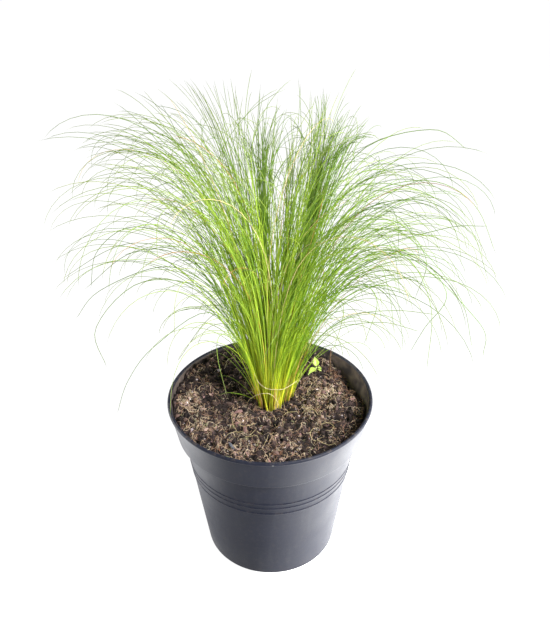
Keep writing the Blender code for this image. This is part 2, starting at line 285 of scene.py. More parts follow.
def settled_dust() -> bpy.types.NodeTree:
    """Group the nodes for soil dust that settles on what faces up.

    Returns:
        The group.
    """
    wiring, given, out = start_group(
        "settled_dust",
        {"Vector": "Vector", "Color": "Color", "Dust": "Color", "Amount": "Float", "Scale": "Float"},
        {"Color": "Color", "Mask": "Float"},
    )
    facing = wiring.add("SeparateXYZ", Vector=wiring.add("NewGeometry").outputs["Normal"])
    up = wiring.remap(facing.outputs[2], 0.15, 0.95)
    specks = wiring.add(
        "TexNoise", Vector=given["Vector"], Scale=given["Scale"], Detail=6.0, Roughness=0.7
    )
    loose = wiring.remap(specks.outputs[0], 0.5, 0.72)
    cover = wiring.maths("ADD", wiring.maths("MULTIPLY", up, 0.8), 0.12)
    mask = wiring.maths("MULTIPLY", wiring.maths("MULTIPLY", cover, loose), given["Amount"])
    wiring.feed(out["Color"], wiring.blend(mask, given["Color"], given["Dust"]))
    wiring.feed(out["Mask"], mask)
    return wiring.tree


def lengthways_fibres() -> bpy.types.NodeTree:
    """Group the nodes for veins that run lengthways in a blade, leaf or stalk.

    Returns:
        The group.
    """
    wiring, given, out = start_group(
        "lengthways_fibres",
        {"Vector": "Vector", "Color": "Color", "Vein": "Color", "Amount": "Float", "Fineness": "Float"},
        {"Color": "Color", "Height": "Float"},
    )
    stretch = wiring.vector("MULTIPLY", given["Vector"], (900.0, 900.0, 70.0))
    sized = wiring.vector("SCALE", stretch, Scale=given["Fineness"])
    lines = wiring.add("TexNoise", Vector=sized, Scale=1.0, Detail=3.0)
    mask = wiring.remap(lines.outputs[0], 0.42, 0.66)
    share = wiring.maths("MULTIPLY", mask, given["Amount"])
    wiring.feed(out["Color"], wiring.blend(share, given["Color"], given["Vein"]))
    wiring.feed(out["Height"], mask)
    return wiring.tree


@dataclass(frozen=True)
class Effects:
    """Surface effects that several finishes share, each a node group built once.

    Attributes:
        patches: soft uneven colouring.
        grain: fine grain.
        dust: settled dust.
        fibres: lengthways veins.
    """

    patches: bpy.types.NodeTree = field(default_factory=uneven_colour)
    grain: bpy.types.NodeTree = field(default_factory=surface_grain)
    dust: bpy.types.NodeTree = field(default_factory=settled_dust)
    fibres: bpy.types.NodeTree = field(default_factory=lengthways_fibres)


class Canvas(Wiring):
    """One material being wired, in the piece's own coordinates."""

    def __init__(self, name: str, effects: Effects) -> None:
        """Open the material.

        Args:
            name: its name.
            effects: the shared node groups.
        """
        self.made = bpy.data.materials.new(name)
        self.made.use_nodes = True
        super().__init__(self.made.node_tree)
        self.effects = effects
        self.shader = self.tree.nodes["Principled BSDF"]
        self.place = self.add("TexCoord").outputs["Object"]

    def effect(self, group: bpy.types.NodeTree, **inputs: Any) -> dict[str, Socket]:
        """Put in a shared effect and name its outputs."""
        node = self.add("Group", {"node_tree": group}, Vector=self.place, **inputs)
        return {socket.name: socket for socket in node.outputs}

    def growth(self) -> tuple[Socket, Socket]:
        """Read the UV map "grow": the share along the piece, and its tone."""
        parts = self.add("SeparateXYZ", None, self.add("UVMap", {"uv_map": "grow"}).outputs[0])
        return parts.outputs[0], parts.outputs[1]

    def cloud(self, scale: float, detail: float, roughness: float = 0.5) -> Socket:
        """Add cloudy noise in the piece's own coordinates."""
        values = {"Vector": self.place, "Scale": scale, "Detail": detail, "Roughness": roughness}
        return self.add("TexNoise", **values).outputs[0]

    def coat(
        self, colour: Any, roughness: Any, specular: float = 0.5, height: Any = None,
        bump: tuple[float, float] = (0.0, 0.0), invert: bool = False,
    ) -> None:
        """Feed the shader.

        Args:
            colour: the base colour.
            roughness: the roughness.
            specular: the specular level.
            height: the relief, or None for none.
            bump: how strong the relief is, and its height in metres.
            invert: whether what is high in the relief is sunk.
        """
        self.feed(self.shader.inputs["Base Color"], colour)
        self.feed(self.shader.inputs["Roughness"], roughness)
        self.feed(self.shader.inputs["Specular IOR Level"], specular)
        if height is not None:
            sizes = {"Strength": bump[0], "Distance": bump[1], "Height": height}
            relief = self.add("Bump", {"invert": invert}, **sizes)
            self.feed(self.shader.inputs["Normal"], relief.outputs[0])


@dataclass(frozen=True)
class Finish:
    """What every finish shares.

    Attributes:
        canvas: the material that it is wired on.
    """

    label: ClassVar[str] = ""
    canvas: Canvas

    def wire(self) -> None:
        """Wire the material, each finish in its own way."""
        raise NotImplementedError


@dataclass(frozen=True)
class PotPlastic(Finish):
    """Matte blue-grey moulded plastic with a soft haze, fine grain, dust and one nick.

    Attributes:
        base: main colour.
        haze: colour of the paler haze.
        streak: colour of the upright streaks.
        dust: colour of settled soil dust.
        silt_and_painted_light: colour of the soil that clings to the inside, which also lightens the
            shaded inner wall as painted light.
        nick: place of the pale nick under the lip.
        nick_radius: its half size.
        nick_colour: its colour.
    """

    label: ClassVar[str] = "pot_plastic"
    base: Colour = (0.0085, 0.0105, 0.0205)
    haze: Colour = (0.013, 0.015, 0.027)
    streak: Colour = (0.029, 0.032, 0.042)
    dust: Colour = (0.16, 0.125, 0.095)
    silt_and_painted_light: Colour = (0.18, 0.14, 0.12)
    nick: Point = (1.8 * MM, -93.9 * MM, 167.6 * MM)
    nick_radius: float = 1.3 * MM
    nick_colour: Colour = (0.30, 0.30, 0.29)

    def wire(self) -> None:
        """Wire the material."""
        on = self.canvas
        haze = on.effect(
            on.effects.patches, Base=self.base, Patch=self.haze, Scale=26.0, Spread=0.16
        )
        flow = on.add("Mapping", Vector=on.place, Scale=(160.0, 160.0, 9.0))
        streak = on.add("TexNoise", Vector=flow.outputs[0], Scale=1.0, Detail=3.0)
        streaks = on.remap(streak.outputs[0], 0.5, 0.78, 0.0, 0.28)
        streaked = on.blend(streaks, haze["Color"], self.streak)
        away = on.vector("DISTANCE", on.place, self.nick)
        nick = on.remap(away, 0.35 * self.nick_radius, self.nick_radius, 1.0, 0.0)
        nicked = on.blend(nick, streaked, self.nick_colour)
        # partly painted light: the inner wall takes a pale soil colour, real clinging soil that also
        # lightens the wall where the inside lies in shade
        inward = on.vector("DOT_PRODUCT", on.add("NewGeometry").outputs["Normal"], on.place)
        inside = on.remap(inward, -0.05, -0.03, 1.0, 0.0)
        smear = on.remap(on.cloud(90.0, 4.0), 0.35, 0.65, 0.25, 0.9)
        silted_and_lit = on.blend(on.maths("MULTIPLY", inside, smear), nicked, self.silt_and_painted_light)
        dusty = on.effect(on.effects.dust, Color=silted_and_lit, Dust=self.dust, Amount=0.55, Scale=240.0)
        rough = on.remap(haze["Mask"], 0.0, 1.0, 0.40, 0.50)
        dull = on.maths("ADD", rough, on.maths("MULTIPLY", dusty["Mask"], 0.4))
        grain = on.effect(on.effects.grain, Fine=1900.0, Slow=45.0, Slow_share=2.2)
        dented = on.maths("SUBTRACT", grain["Height"], on.maths("MULTIPLY", nick, 3.0))
        on.coat(dusty["Color"], dull, 0.15, dented, (0.16, 0.00025))


@dataclass(frozen=True)
class SoilEarth(Finish):
    """Peaty potting soil, dark between pale flecks of fibre, bark and moss.

    Attributes:
        dark: colour of the damp peat.
        brown: colour of the drier humus.
        flecks: places on a scale from 0 to 1 and the flecks' colours.
        fleck_scale: how many flecks there are in a metre.
    """

    label: ClassVar[str] = "soil_earth"
    dark: Colour = (0.0106, 0.0076, 0.0082)
    brown: Colour = (0.044, 0.0279, 0.0265)
    flecks: tuple[tuple[float, Colour], ...] = (
        (0.0, (0.0088, 0.0063, 0.007)),
        (0.58, (0.044, 0.0291, 0.0276)),
        (0.76, (0.132, 0.088, 0.0806)),
        (0.87, (0.3696, 0.2646, 0.2438)),
        (0.92, (0.1672, 0.1539, 0.106)),
        (0.955, (0.4048, 0.2475, 0.2438)),
        (0.98, (0.6512, 0.5814, 0.6148)),
    )
    fleck_scale: float = 640.0

    def wire(self) -> None:
        """Wire the material."""
        on = self.canvas
        ground = on.effect(
            on.effects.patches, Base=self.dark, Patch=self.brown, Scale=95.0, Spread=0.12
        )
        warped = on.add("TexNoise", Vector=on.place, Scale=300.0, Detail=2.0)
        shift = on.vector("SCALE", warped.outputs["Color"], Scale=0.003)
        bent = on.vector("ADD", on.place, shift)
        cells = on.add("TexVoronoi", Vector=bent, Scale=self.fleck_scale)
        pick = on.add("SeparateColor", Color=cells.outputs["Color"])
        fleck = on.ramp(pick.outputs[0], self.flecks, sharp=True)
        # painted shade and light: the first value of grow darkens the soil in its hollows and in the
        # pit and brightens it on its lumps
        depth, dryness = on.growth()
        drier = on.remap(dryness, 0.40, 0.85, 0.06, 0.95)
        dressed = on.blend(drier, ground["Color"], fleck)
        shaded = on.shaded(dressed, on.remap(depth, 0.24, 0.66, 0.12, 1.35))
        grain = on.effect(on.effects.grain, Fine=1300.0, Slow=420.0, Slow_share=1.6)
        on.coat(shaded, 0.93, 0.25, grain["Height"], (0.9, 0.0012))


@dataclass(frozen=True)
class CrumbMix(Finish):
    """Crumbs, chips and grains, each coloured by the tone it carries.

    Attributes:
        stops: places on the tone scale and their colours.
        soiling: colour of the soil on them.
    """

    label: ClassVar[str] = "soil_crumbs"
    stops: tuple[tuple[float, Colour], ...] = (
        (0.0, (0.0123, 0.0085, 0.009)),
        (0.16, (0.044, 0.0279, 0.0254)),
        (0.36, (0.1232, 0.0779, 0.0678)),
        (0.55, (0.2728, 0.1566, 0.1484)),
        (0.69, (0.3696, 0.2619, 0.2226)),
        (0.82, (0.1496, 0.1476, 0.0795)),
        (0.90, (0.176, 0.1944, 0.2438)),
        (0.945, (0.528, 0.4734, 0.5194)),
    )
    soiling: Colour = (0.03, 0.019, 0.012)

    def wire(self) -> None:
        """Wire the material."""
        on = self.canvas
        light, tone = on.growth()
        colour = on.ramp(tone, self.stops, sharp=True)
        shaded = on.shaded(colour, on.remap(light, 0.0, 1.0, 0.55, 1.5))
        soiled = on.effect(
            on.effects.patches, Base=shaded, Patch=self.soiling, Scale=900.0, Spread=0.22
        )
        grain = on.effect(on.effects.grain, Fine=2200.0, Slow=700.0, Slow_share=1.2)
        mixed = on.blend(0.45, shaded, soiled["Color"])
        on.coat(mixed, 0.9, 0.3, grain["Height"], (0.7, 0.0006))


@dataclass(frozen=True)
class RootFibre(Finish):
    """Dry rootlets and straw bits, from dark brown over orange and tan to pale straw.

    Attributes:
        stops: places on the tone scale and their colours.
        soiling: colour of the soil on them.
    """

    label: ClassVar[str] = "root_fibre"
    stops: tuple[tuple[float, Colour], ...] = (
        (0.0, (0.028, 0.015, 0.01)),
        (0.25, (0.12, 0.061, 0.038)),
        (0.45, (0.351, 0.171, 0.1)),
        (0.60, (0.407, 0.252, 0.155)),
        (0.78, (0.591, 0.423, 0.264)),
        (1.0, (0.795, 0.666, 0.474)),
    )
    soiling: Colour = (0.05, 0.032, 0.02)

    def wire(self) -> None:
        """Wire the material."""
        on = self.canvas
        colour = on.ramp(on.growth()[1], self.stops)
        soiled = on.effect(
            on.effects.patches, Base=colour, Patch=self.soiling, Scale=420.0, Spread=0.3
        )
        grain = on.effect(on.effects.grain, Fine=2600.0, Slow=600.0, Slow_share=0.5)
        mixed = on.blend(0.5, colour, soiled["Color"])
        on.coat(mixed, 0.75, 0.5, grain["Height"], (0.4, 0.0003))


@dataclass(frozen=True)
class LeafGreen(Finish):
    """Living grass: yellow at the sheath, fresh green above, darker at the hair-fine tip.

    Attributes:
        stops: places along the blade and their colours, which also paint light on the shaded foot and
            shade on the fully lit tip.
        tints: places on the tone scale and the tints there.
        vein: colour of the veins.
        rust: colour of the aged spots.
    """

    label: ClassVar[str] = "grass_green"
    # partly painted light: the foot is brightened for the shade inside the crown, and the outer part
    # darkened where the lamps light it fully
    stops: tuple[tuple[float, Colour], ...] = (
        (0.0, (0.80, 0.71, 0.050)),
        (0.06, (0.72, 0.73, 0.045)),
        (0.16, (0.48, 0.65, 0.042)),
        (0.36, (0.305, 0.465, 0.036)),
        (0.60, (0.205, 0.315, 0.029)),
        (0.85, (0.155, 0.220, 0.027)),
        (1.0, (0.140, 0.190, 0.029)),
    )
    tints: tuple[tuple[float, Colour], ...] = (
        (0.0, (0.35, 0.53, 0.42)),
        (0.45, (0.85, 0.9, 0.9)),
        (0.8, (1.1, 1.06, 1.0)),
        (1.0, (1.35, 1.22, 1.1)),
    )
    vein: Colour = (0.28, 0.36, 0.06)
    rust: Colour = (0.46, 0.23, 0.05)

    def wire(self) -> None:
        """Wire the material."""
        on = self.canvas
        along, tone = on.growth()
        tint = on.ramp(tone, self.tints)
        tinted = on.blend(1.0, on.ramp(along, self.stops), tint, "MULTIPLY")
        veined = on.effect(
            on.effects.fibres, Color=tinted, Vein=self.vein, Amount=0.20, Fineness=1.0
        )
        low = on.remap(along, 0.02, 0.5, 1.0, 0.25)
        rusty = on.remap(on.cloud(75.0, 4.0, 0.7), 0.63, 0.74)
        aged = on.blend(on.maths("MULTIPLY", rusty, low), veined["Color"], self.rust)
        rough = on.remap(tone, 0.0, 1.0, 0.55, 0.40)
        on.coat(aged, rough, 0.25, veined["Height"], (0.35, 0.00012))


@dataclass(frozen=True)
class LeafStraw(Finish):
    """Dead grass: orange-red sheaths and straw-coloured blades.

    Attributes:
        stops: places on the tone scale and their colours.
        vein: colour of the veins.
    """

    label: ClassVar[str] = "grass_straw"
    stops: tuple[tuple[float, Colour], ...] = (
        (0.0, (0.20, 0.085, 0.028)),
        (0.35, (0.50, 0.215, 0.045)),
        (0.6, (0.56, 0.36, 0.09)),
        (0.82, (0.62, 0.50, 0.20)),
        (1.0, (0.72, 0.63, 0.40)),
    )
    vein: Colour = (0.30, 0.16, 0.06)

    def wire(self) -> None:
        """Wire the material."""
        on = self.canvas
        colour = on.ramp(on.growth()[1], self.stops)
        veined = on.effect(
            on.effects.fibres, Color=colour, Vein=self.vein, Amount=0.4, Fineness=0.9
        )
        on.coat(veined["Color"], 0.6, 0.5, veined["Height"], (0.4, 0.00012))


@dataclass(frozen=True)
class SeedlingSkin(Finish):
    """Tender yellow-green leaf or stem with a paler midrib.

    Attributes:
        leaf: colour of the blade.
        mottle: colour of its darker patches.
        rib: colour of the midrib and side veins.
        edge: colour along the rim.
        dust: colour of the dust on it.
    """

    label: ClassVar[str] = "seedling_skin"
    leaf: Colour = (0.40, 0.56, 0.075)
    mottle: Colour = (0.29, 0.46, 0.05)
    rib: Colour = (0.66, 0.76, 0.26)
    edge: Colour = (0.50, 0.50, 0.06)
    dust: Colour = (0.18, 0.12, 0.07)

    def wire(self) -> None:
        """Wire the material."""
        on = self.canvas
        along, across = on.growth()
        aside = on.maths("ABSOLUTE", on.maths("SUBTRACT", across, 0.5))
        rib = on.remap(aside, 0.015, 0.07, 1.0, 0.0)
        slanted = on.maths("SUBTRACT", along, on.maths("MULTIPLY", aside, 0.7))
        wave = on.maths("SINE", on.maths("MULTIPLY", slanted, 44.0))
        lines = on.maths("MAXIMUM", rib, on.remap(wave, 0.72, 1.0, 0.0, 0.5))
        mottled = on.effect(
            on.effects.patches, Base=self.leaf, Patch=self.mottle, Scale=420.0, Spread=0.15
        )
        ribbed = on.blend(lines, mottled["Color"], self.rib)
        rimmed = on.blend(on.remap(aside, 0.36, 0.5, 0.0, 0.7), ribbed, self.edge)
        dusty = on.effect(on.effects.dust, Color=rimmed, Dust=self.dust, Amount=0.25, Scale=900.0)
        on.coat(dusty["Color"], 0.45, 0.5, lines, (0.5, 0.00025))


@dataclass(frozen=True)
class StalkBark(Finish):
    """Dead woody stalk, grey-brown and furrowed.

    Attributes:
        bark: main colour.
        furrow: colour of the furrows.
        dust: colour of the dust on it.
    """

    label: ClassVar[str] = "stalk_bark"
    bark: Colour = (0.20, 0.115, 0.062)
    furrow: Colour = (0.07, 0.038, 0.022)
    dust: Colour = (0.28, 0.22, 0.15)

    def wire(self) -> None:
        """Wire the material."""
        on = self.canvas
        furrowed = on.effect(
            on.effects.fibres, Color=self.bark, Vein=self.furrow, Amount=0.8, Fineness=1.3
        )
        dusty = on.effect(
            on.effects.dust, Color=furrowed["Color"], Dust=self.dust, Amount=0.6, Scale=700.0
        )
        on.coat(dusty["Color"], 0.85, 0.5, furrowed["Height"], (0.8, 0.0003), invert=True)


@dataclass(frozen=True)
class SweepWhite(Finish):
    """Plain pale floor.

    Attributes:
        colour: colour of the floor.
        patch: colour of its slow patches.
        glow: how much light it gives off, so that it stays white to the horizon.
        pools: pools of light beside the pot: the middle, how far it is full and
            where it ends, in metres, and how much more light the floor gives off there.
    """

    label: ClassVar[str] = "sweep_white"
    colour: Colour = (0.05, 0.05, 0.05)
    patch: Colour = (0.045, 0.045, 0.046)
    glow: float = 0.965
    pools: tuple[tuple[Point, float, float, float], ...] = (
        ((0.25, -0.06, 0.0), 0.09, 0.27, 8.5),
        ((-0.30, -0.02, 0.0), 0.05, 0.2, 6.0),
    )

    def wire(self) -> None:
        """Wire the material."""
        on = self.canvas
        paper = on.effect(
            on.effects.patches, Base=self.colour, Patch=self.patch, Scale=3.0, Spread=0.2
        )
        on.coat(paper["Color"], 0.8)
        strength = self.glow
        # painted light: the floor glows brighter in pools beside the pot
        for middle, full, end, more in self.pools:
            away = on.vector("DISTANCE", on.place, middle)
            strength = on.maths("ADD", on.remap(away, full, end, more, 0.0), strength)
        on.feed(on.shader.inputs["Emission Color"], (1.0, 1.0, 1.0))
        on.feed(on.shader.inputs["Emission Strength"], strength)


FINISHES = (
    PotPlastic, SoilEarth, CrumbMix, RootFibre, LeafGreen, LeafStraw, SeedlingSkin, StalkBark,
    SweepWhite,
)
Looks = dict[type[Finish], bpy.types.Material]


def mixed_looks() -> Looks:
    """Wire every finish once.

    Returns:
        The materials by their finish.
    """
    effects = Effects()
    looks: Looks = {}
    for finish in FINISHES:
        canvas = Canvas(finish.label, effects)
        finish(canvas).wire()
        looks[finish] = canvas.made
    return looks


def show(
    name: str, mesh: bpy.types.Mesh, materials: Sequence[bpy.types.Material], smooth: bool = True
) -> bpy.types.Object:
    """Put a mesh in the scene.

    Args:
        name: the object's name.
        mesh: its mesh, already in place.
        materials: its material slots.
        smooth: smooth shading or flat.

    Returns:
        The object.
    """
    made = bpy.data.objects.new(name, mesh)
    bpy.context.scene.collection.objects.link(made)
    for material in materials:
        mesh.materials.append(material)
    mesh.polygons.foreach_set("use_smooth", [smooth] * len(mesh.polygons))
    return made


def settle(piece: bpy.types.Object, slot: str, *nodes: str) -> None:
    """Tie a piece to the object's one body, hide the CAD nodes that it replaces and log its triangles.

    Args:
        piece: the finished piece.
        slot: the record's material slot; not used.
        *nodes: the CAD nodes that it replaces.
    """
    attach(piece, BODY)
    if nodes:
        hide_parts(*nodes)
    piece.data.calc_loop_triangles()
    LOG.info("%s: %d triangles", piece.name, len(piece.data.loop_triangles))


def baked(name: str, shape: bmesh.types.BMesh) -> bpy.types.Mesh:
    """Turn a shape that is finished into a mesh.

    Args:
        name: the mesh's name.
        shape: the shape, which is freed.

    Returns:
        The mesh.
    """
    mesh = bpy.data.meshes.new(name)
    shape.to_mesh(mesh)
    shape.free()
    return mesh


def lathe(name: str, outline: Sequence[tuple[float, float]], steps: int) -> bpy.types.Mesh:
    """Turn an outline round the Z axis into a closed shell.

    Args:
        name: the mesh's name.
        outline: radius and height pairs, from the axis to the axis, in millimetres.
        steps: how many segments make a full turn.

    Returns:
        The mesh.
    """
    shell = bmesh.new()
    corners = [shell.verts.new((radius * MM, 0.0, height * MM)) for radius, height in outline]
    edges = [shell.edges.new(pair) for pair in zip(corners, corners[1:])]
    bmesh.ops.spin(
        shell, geom=corners + edges, cent=(0, 0, 0), axis=(0, 0, 1), angle=FULL_TURN,
        steps=steps, use_merge=True,
    )
    bmesh.ops.remove_doubles(shell, verts=shell.verts, dist=0.01 * MM)
    bmesh.ops.recalc_face_normals(shell, faces=shell.faces)
    return baked(name, shell)


def softened(outline: Sequence[Point], steps: int = 4) -> list[tuple[float, float]]:
    """Round the corners of an outline.

    Args:
        outline: radius, height and corner rounding, in millimetres.
        steps: segments in each rounded corner.

    Returns:
        Radius and height pairs.
    """
    made: list[tuple[float, float]] = []
    last = len(outline) - 1
    for place, (radius, height, rounding) in enumerate(outline):
        here = Vector((radius, height))
        if place in (0, last) or rounding <= 0.0:
            made.append((radius, height))
            continue
        before = Vector(outline[place - 1][:2]) - here
        after = Vector(outline[place + 1][:2]) - here
        start = here + before.normalized() * min(rounding, 0.46 * before.length)
        end = here + after.normalized() * min(rounding, 0.46 * after.length)
        for step in range(steps + 1):
            share = step / steps
            spot = start * (1 - share) ** 2 + here * 2 * share * (1 - share) + end * share**2
            made.append((spot.x, spot.y))
    return made


def paint_growth(mesh: bpy.types.Mesh, values: np.ndarray) -> None:
    """Give a mesh its UV map "grow" from values kept by corner.

    Args:
        mesh: the mesh.
        values: two values for each of its vertices.
    """
    layer = mesh.uv_layers.new(name="grow")
    owner = np.zeros(len(mesh.loops), dtype=np.int32)
    mesh.loops.foreach_get("vertex_index", owner)
    layer.data.foreach_set("uv", values[owner].astype(np.float32).ravel())


class StrandMesh:
    """Gathers many thin closed strands into one mesh.

    Each strand is a ring of corners carried along a line, closed by a cap below and a point
    above. Its UV map "grow" holds the share along the strand and the strand's tone.
    """

    def __init__(self, sides: int = 3) -> None:
        """Start an empty mesh.

        Args:
            sides: corners in each ring.
        """
        self.sides = sides
        self.corners: list[np.ndarray] = []
        self.faces: list[tuple[int, ...]] = []
        self.slots: list[int] = []
        self.grow: list[np.ndarray] = []
        self.total = 0

    def add(
        self, line: np.ndarray, half: np.ndarray, flat: float, across: np.ndarray, tone: float,
        growth: Growth = Growth.GREEN, end: float = 1.0,
    ) -> None:
        """Add one strand.

        Args:
            line: its middle line, the last point being its tip.
            half: half width at each point but the last.
            flat: its thickness for a width of one.
            across: direction of its width.
            tone: the tone it carries.
            growth: green or straw, which is its material slot.
            end: growth value at its tip.
        """
        rings = len(line) - 1
        heading = np.gradient(line, axis=0)
        heading /= np.linalg.norm(heading, axis=1, keepdims=True) + 1e-12
        wide = across - heading * (heading @ across)[:, None]
        wide /= np.linalg.norm(wide, axis=1, keepdims=True) + 1e-12
        deep = np.cross(heading, wide)
        turns = FULL_TURN * np.arange(self.sides) / self.sides + math.pi / 2
        ring = (
            line[:-1, None, :]
            + np.cos(turns)[None, :, None] * wide[:-1, None, :] * half[:, None, None]
            + np.sin(turns)[None, :, None] * deep[:-1, None, :] * (flat * half)[:, None, None]
        )
        self.corners.append(np.vstack([ring.reshape(-1, 3), line[-1:]]))
        first, sides = self.total, self.sides
        for row in range(rings - 1):
            low = first + row * sides
            for side in range(sides):
                after = (side + 1) % sides
                self.faces.append((low + side, low + after, low + sides + after, low + sides + side))
        tip = first + rings * sides
        low = tip - sides
        self.faces.extend((low + side, low + (side + 1) % sides, tip) for side in range(sides))
        self.faces.append(tuple(range(first + sides - 1, first - 1, -1)))
        self.slots.extend([growth.value] * (rings * sides + 1))
        share = np.linspace(0.0, end, rings + 1)
        along = np.append(np.repeat(share[:-1], sides), share[-1])
        self.grow.append(np.column_stack([along, np.full(len(along), tone)]))
        self.total += rings * sides + 1

    def build(self, name: str, materials: Sequence[bpy.types.Material]) -> bpy.types.Object:
        """Make the object.

        Args:
            name: its name.
            materials: its material slots.

        Returns:
            The object.
        """
        mesh = bpy.data.meshes.new(name)
        mesh.from_pydata(np.vstack(self.corners).tolist(), [], self.faces)
        paint_growth(mesh, np.vstack(self.grow))
        made = show(name, mesh, materials)
        mesh.polygons.foreach_set("material_index", self.slots)
        return made


def thinned(line: np.ndarray, count: int) -> np.ndarray:
    """Keep a few points of a fine line, closer together where it turns.

    Args:
        line: the fine line.
        count: how many points to keep.

    Returns:
        The points.
    """
    steps = np.diff(line, axis=0)
    sizes = np.linalg.norm(steps, axis=1)
    heading = steps / (sizes[:, None] + 1e-12)
    turning = np.arccos(np.clip((heading[1:] * heading[:-1]).sum(axis=1), -1.0, 1.0))
    cost = sizes / sizes.sum()
    cost[1:] += 0.45 * turning
    place = np.concatenate([[0.0], np.cumsum(cost)])
    wanted = np.linspace(0.0, place[-1], count)
    return np.column_stack([np.interp(wanted, place, line[:, axis]) for axis in range(3)])


def smooth_line(points: Sequence[Point], count: int) -> np.ndarray:
    """Carry a smooth line through a few points.

    Args:
        points: the points, in millimetres.
        count: how many points the line gets.

    Returns:
        The line in metres.
    """
    knots = np.array(points, dtype=float) * MM
    padded = np.vstack([2 * knots[0] - knots[1], knots, 2 * knots[-1] - knots[-2]])
    made = []
    for share in np.linspace(0.0, len(knots) - 1 - 1e-9, count):
        place = int(share)
        part = share - place
        p0, p1, p2, p3 = padded[place : place + 4]
        slope = (p2 - p0) * part
        bow = (2 * p0 - 5 * p1 + 4 * p2 - p3) * part**2
        twist = (3 * p1 - p0 - 3 * p2 + p3) * part**3
        made.append(0.5 * (2 * p1 + slope + bow + twist))
    return np.array(made)


@dataclass
class Pot:
    """Round nursery pot: rolled lip, sloping band, step, tapering body and three fine ridges.

    Attributes:
        looks: the materials.
        sides: segments in a full turn.
        height: height over the rim.
        base_radius: outer radius at the underside.
        body_top_radius: outer radius of the body under the step.
        step_height: height of the step.
        wall: wall thickness.
        ridges: heights of the three ridges.
        ridge_proud: how far they stand out.
        ridge_half: half their width.
    """

    looks: Looks
    sides: int = 144
    height: float = 170.0
    base_radius: float = 64.0
    body_top_radius: float = 82.1
    step_height: float = 135.6
    wall: float = 1.7
    ridges: tuple[float, ...] = (105.9, 100.2, 93.0)
    ridge_proud: float = 0.55
    ridge_half: float = 1.0

    def body_radius(self, height: float) -> float:
        """Outer radius of the tapering body at a height, in millimetres."""
        rise = height / self.step_height
        return self.base_radius + (self.body_top_radius - self.base_radius) * rise

    def outline(self) -> list[tuple[float, float]]:
        """Outline from the floor's middle, over the lip and back to the axis.

        Returns:
            Radius and height pairs, in millimetres.
        """
        body = self.body_top_radius
        inside = [
            (0.0, 2.0, 0.0), (self.body_radius(2.0) - self.wall, 2.0, 1.5),
            (body - self.wall, self.step_height - self.wall, 1.2), (85.9, 137.3, 1.0),
        ]
        lip = [
            (91.6, 164.5, 0.8), (91.4, 168.4, 0.9), (92.3, 169.7, 0.7), (93.4, 170.0, 0.6),
            (94.5, 169.3, 0.8), (95.0, 168.0, 0.8), (94.6, 166.6, 0.7), (93.3, 165.9, 0.5),
        ]
        band = [
            (87.8, 136.3, 0.5), (87.2, 135.6, 0.35), (body + 0.5, 135.3, 0.6),
            (body - 0.05, 134.6, 0.5),
        ]
        ridges = [
            (self.body_radius(level) + proud * self.ridge_proud, level, 0.25)
            for middle in self.ridges
            for step, proud in ((1.0, 0.0), (0.35, 1.0), (-0.35, 1.0), (-1.0, 0.0))
            for level in [middle + step * self.ridge_half]
        ]
        base = [
            (self.body_radius(46.0), 46.0, 0.0), (self.body_radius(1.3), 1.3, 1.0),
            (62.8, 0.0, 0.9), (57.0, 0.0, 0.6), (56.0, 1.0, 0.5), (27.0, 1.0, 0.5),
            (26.0, 0.0, 0.5), (0.0, 0.0, 0.0),
        ]
        return softened(inside + lip + band + ridges + base)

    def build(self) -> None:
        """Make and dress the pot, a little out of round."""
        mesh = lathe("pot_shell", self.outline(), self.sides)
        for corner in mesh.vertices:
            angle = math.atan2(corner.co.y, corner.co.x)
            lift = corner.co.z / (self.height * MM)
            ease = 1.0 + 0.0011 * lift * math.sin(2 * angle + 0.8) + 0.0006 * math.sin(3 * angle)
            corner.co.x *= ease
            corner.co.y *= ease
        settle(show("pot_shell", mesh, [self.looks[PotPlastic]]), "pot_plastic", "pot")


@dataclass(frozen=True)
class Relief:
    """One hollow or lump of the soil.

    Attributes:
        x: its middle, in millimetres.
        y: its middle, in millimetres.
        radius: its reach, in millimetres.
        rise: its height, below nought for a hollow.
    """

    x: float
    y: float
    radius: float
    rise: float

    def lift(self, x: float, y: float) -> float:
        """Height that it adds at a place, all in millimetres."""
        away = ((x - self.x) ** 2 + (y - self.y) ** 2) / self.radius**2
        return self.rise * math.exp(-1.6 * away)


@dataclass(frozen=True)
class Mark:
    """One chip or grain that the photo shows by itself, in millimetres.

    Attributes:
        x: its middle.
        y: its middle.
        lift: height of its middle over the soil.
        sizes: its half sizes.
        kind: what it is.
        turn: how it lies, in radians.
    """

    x: float
    y: float
    lift: float
    sizes: Point
    kind: Litter
    turn: float


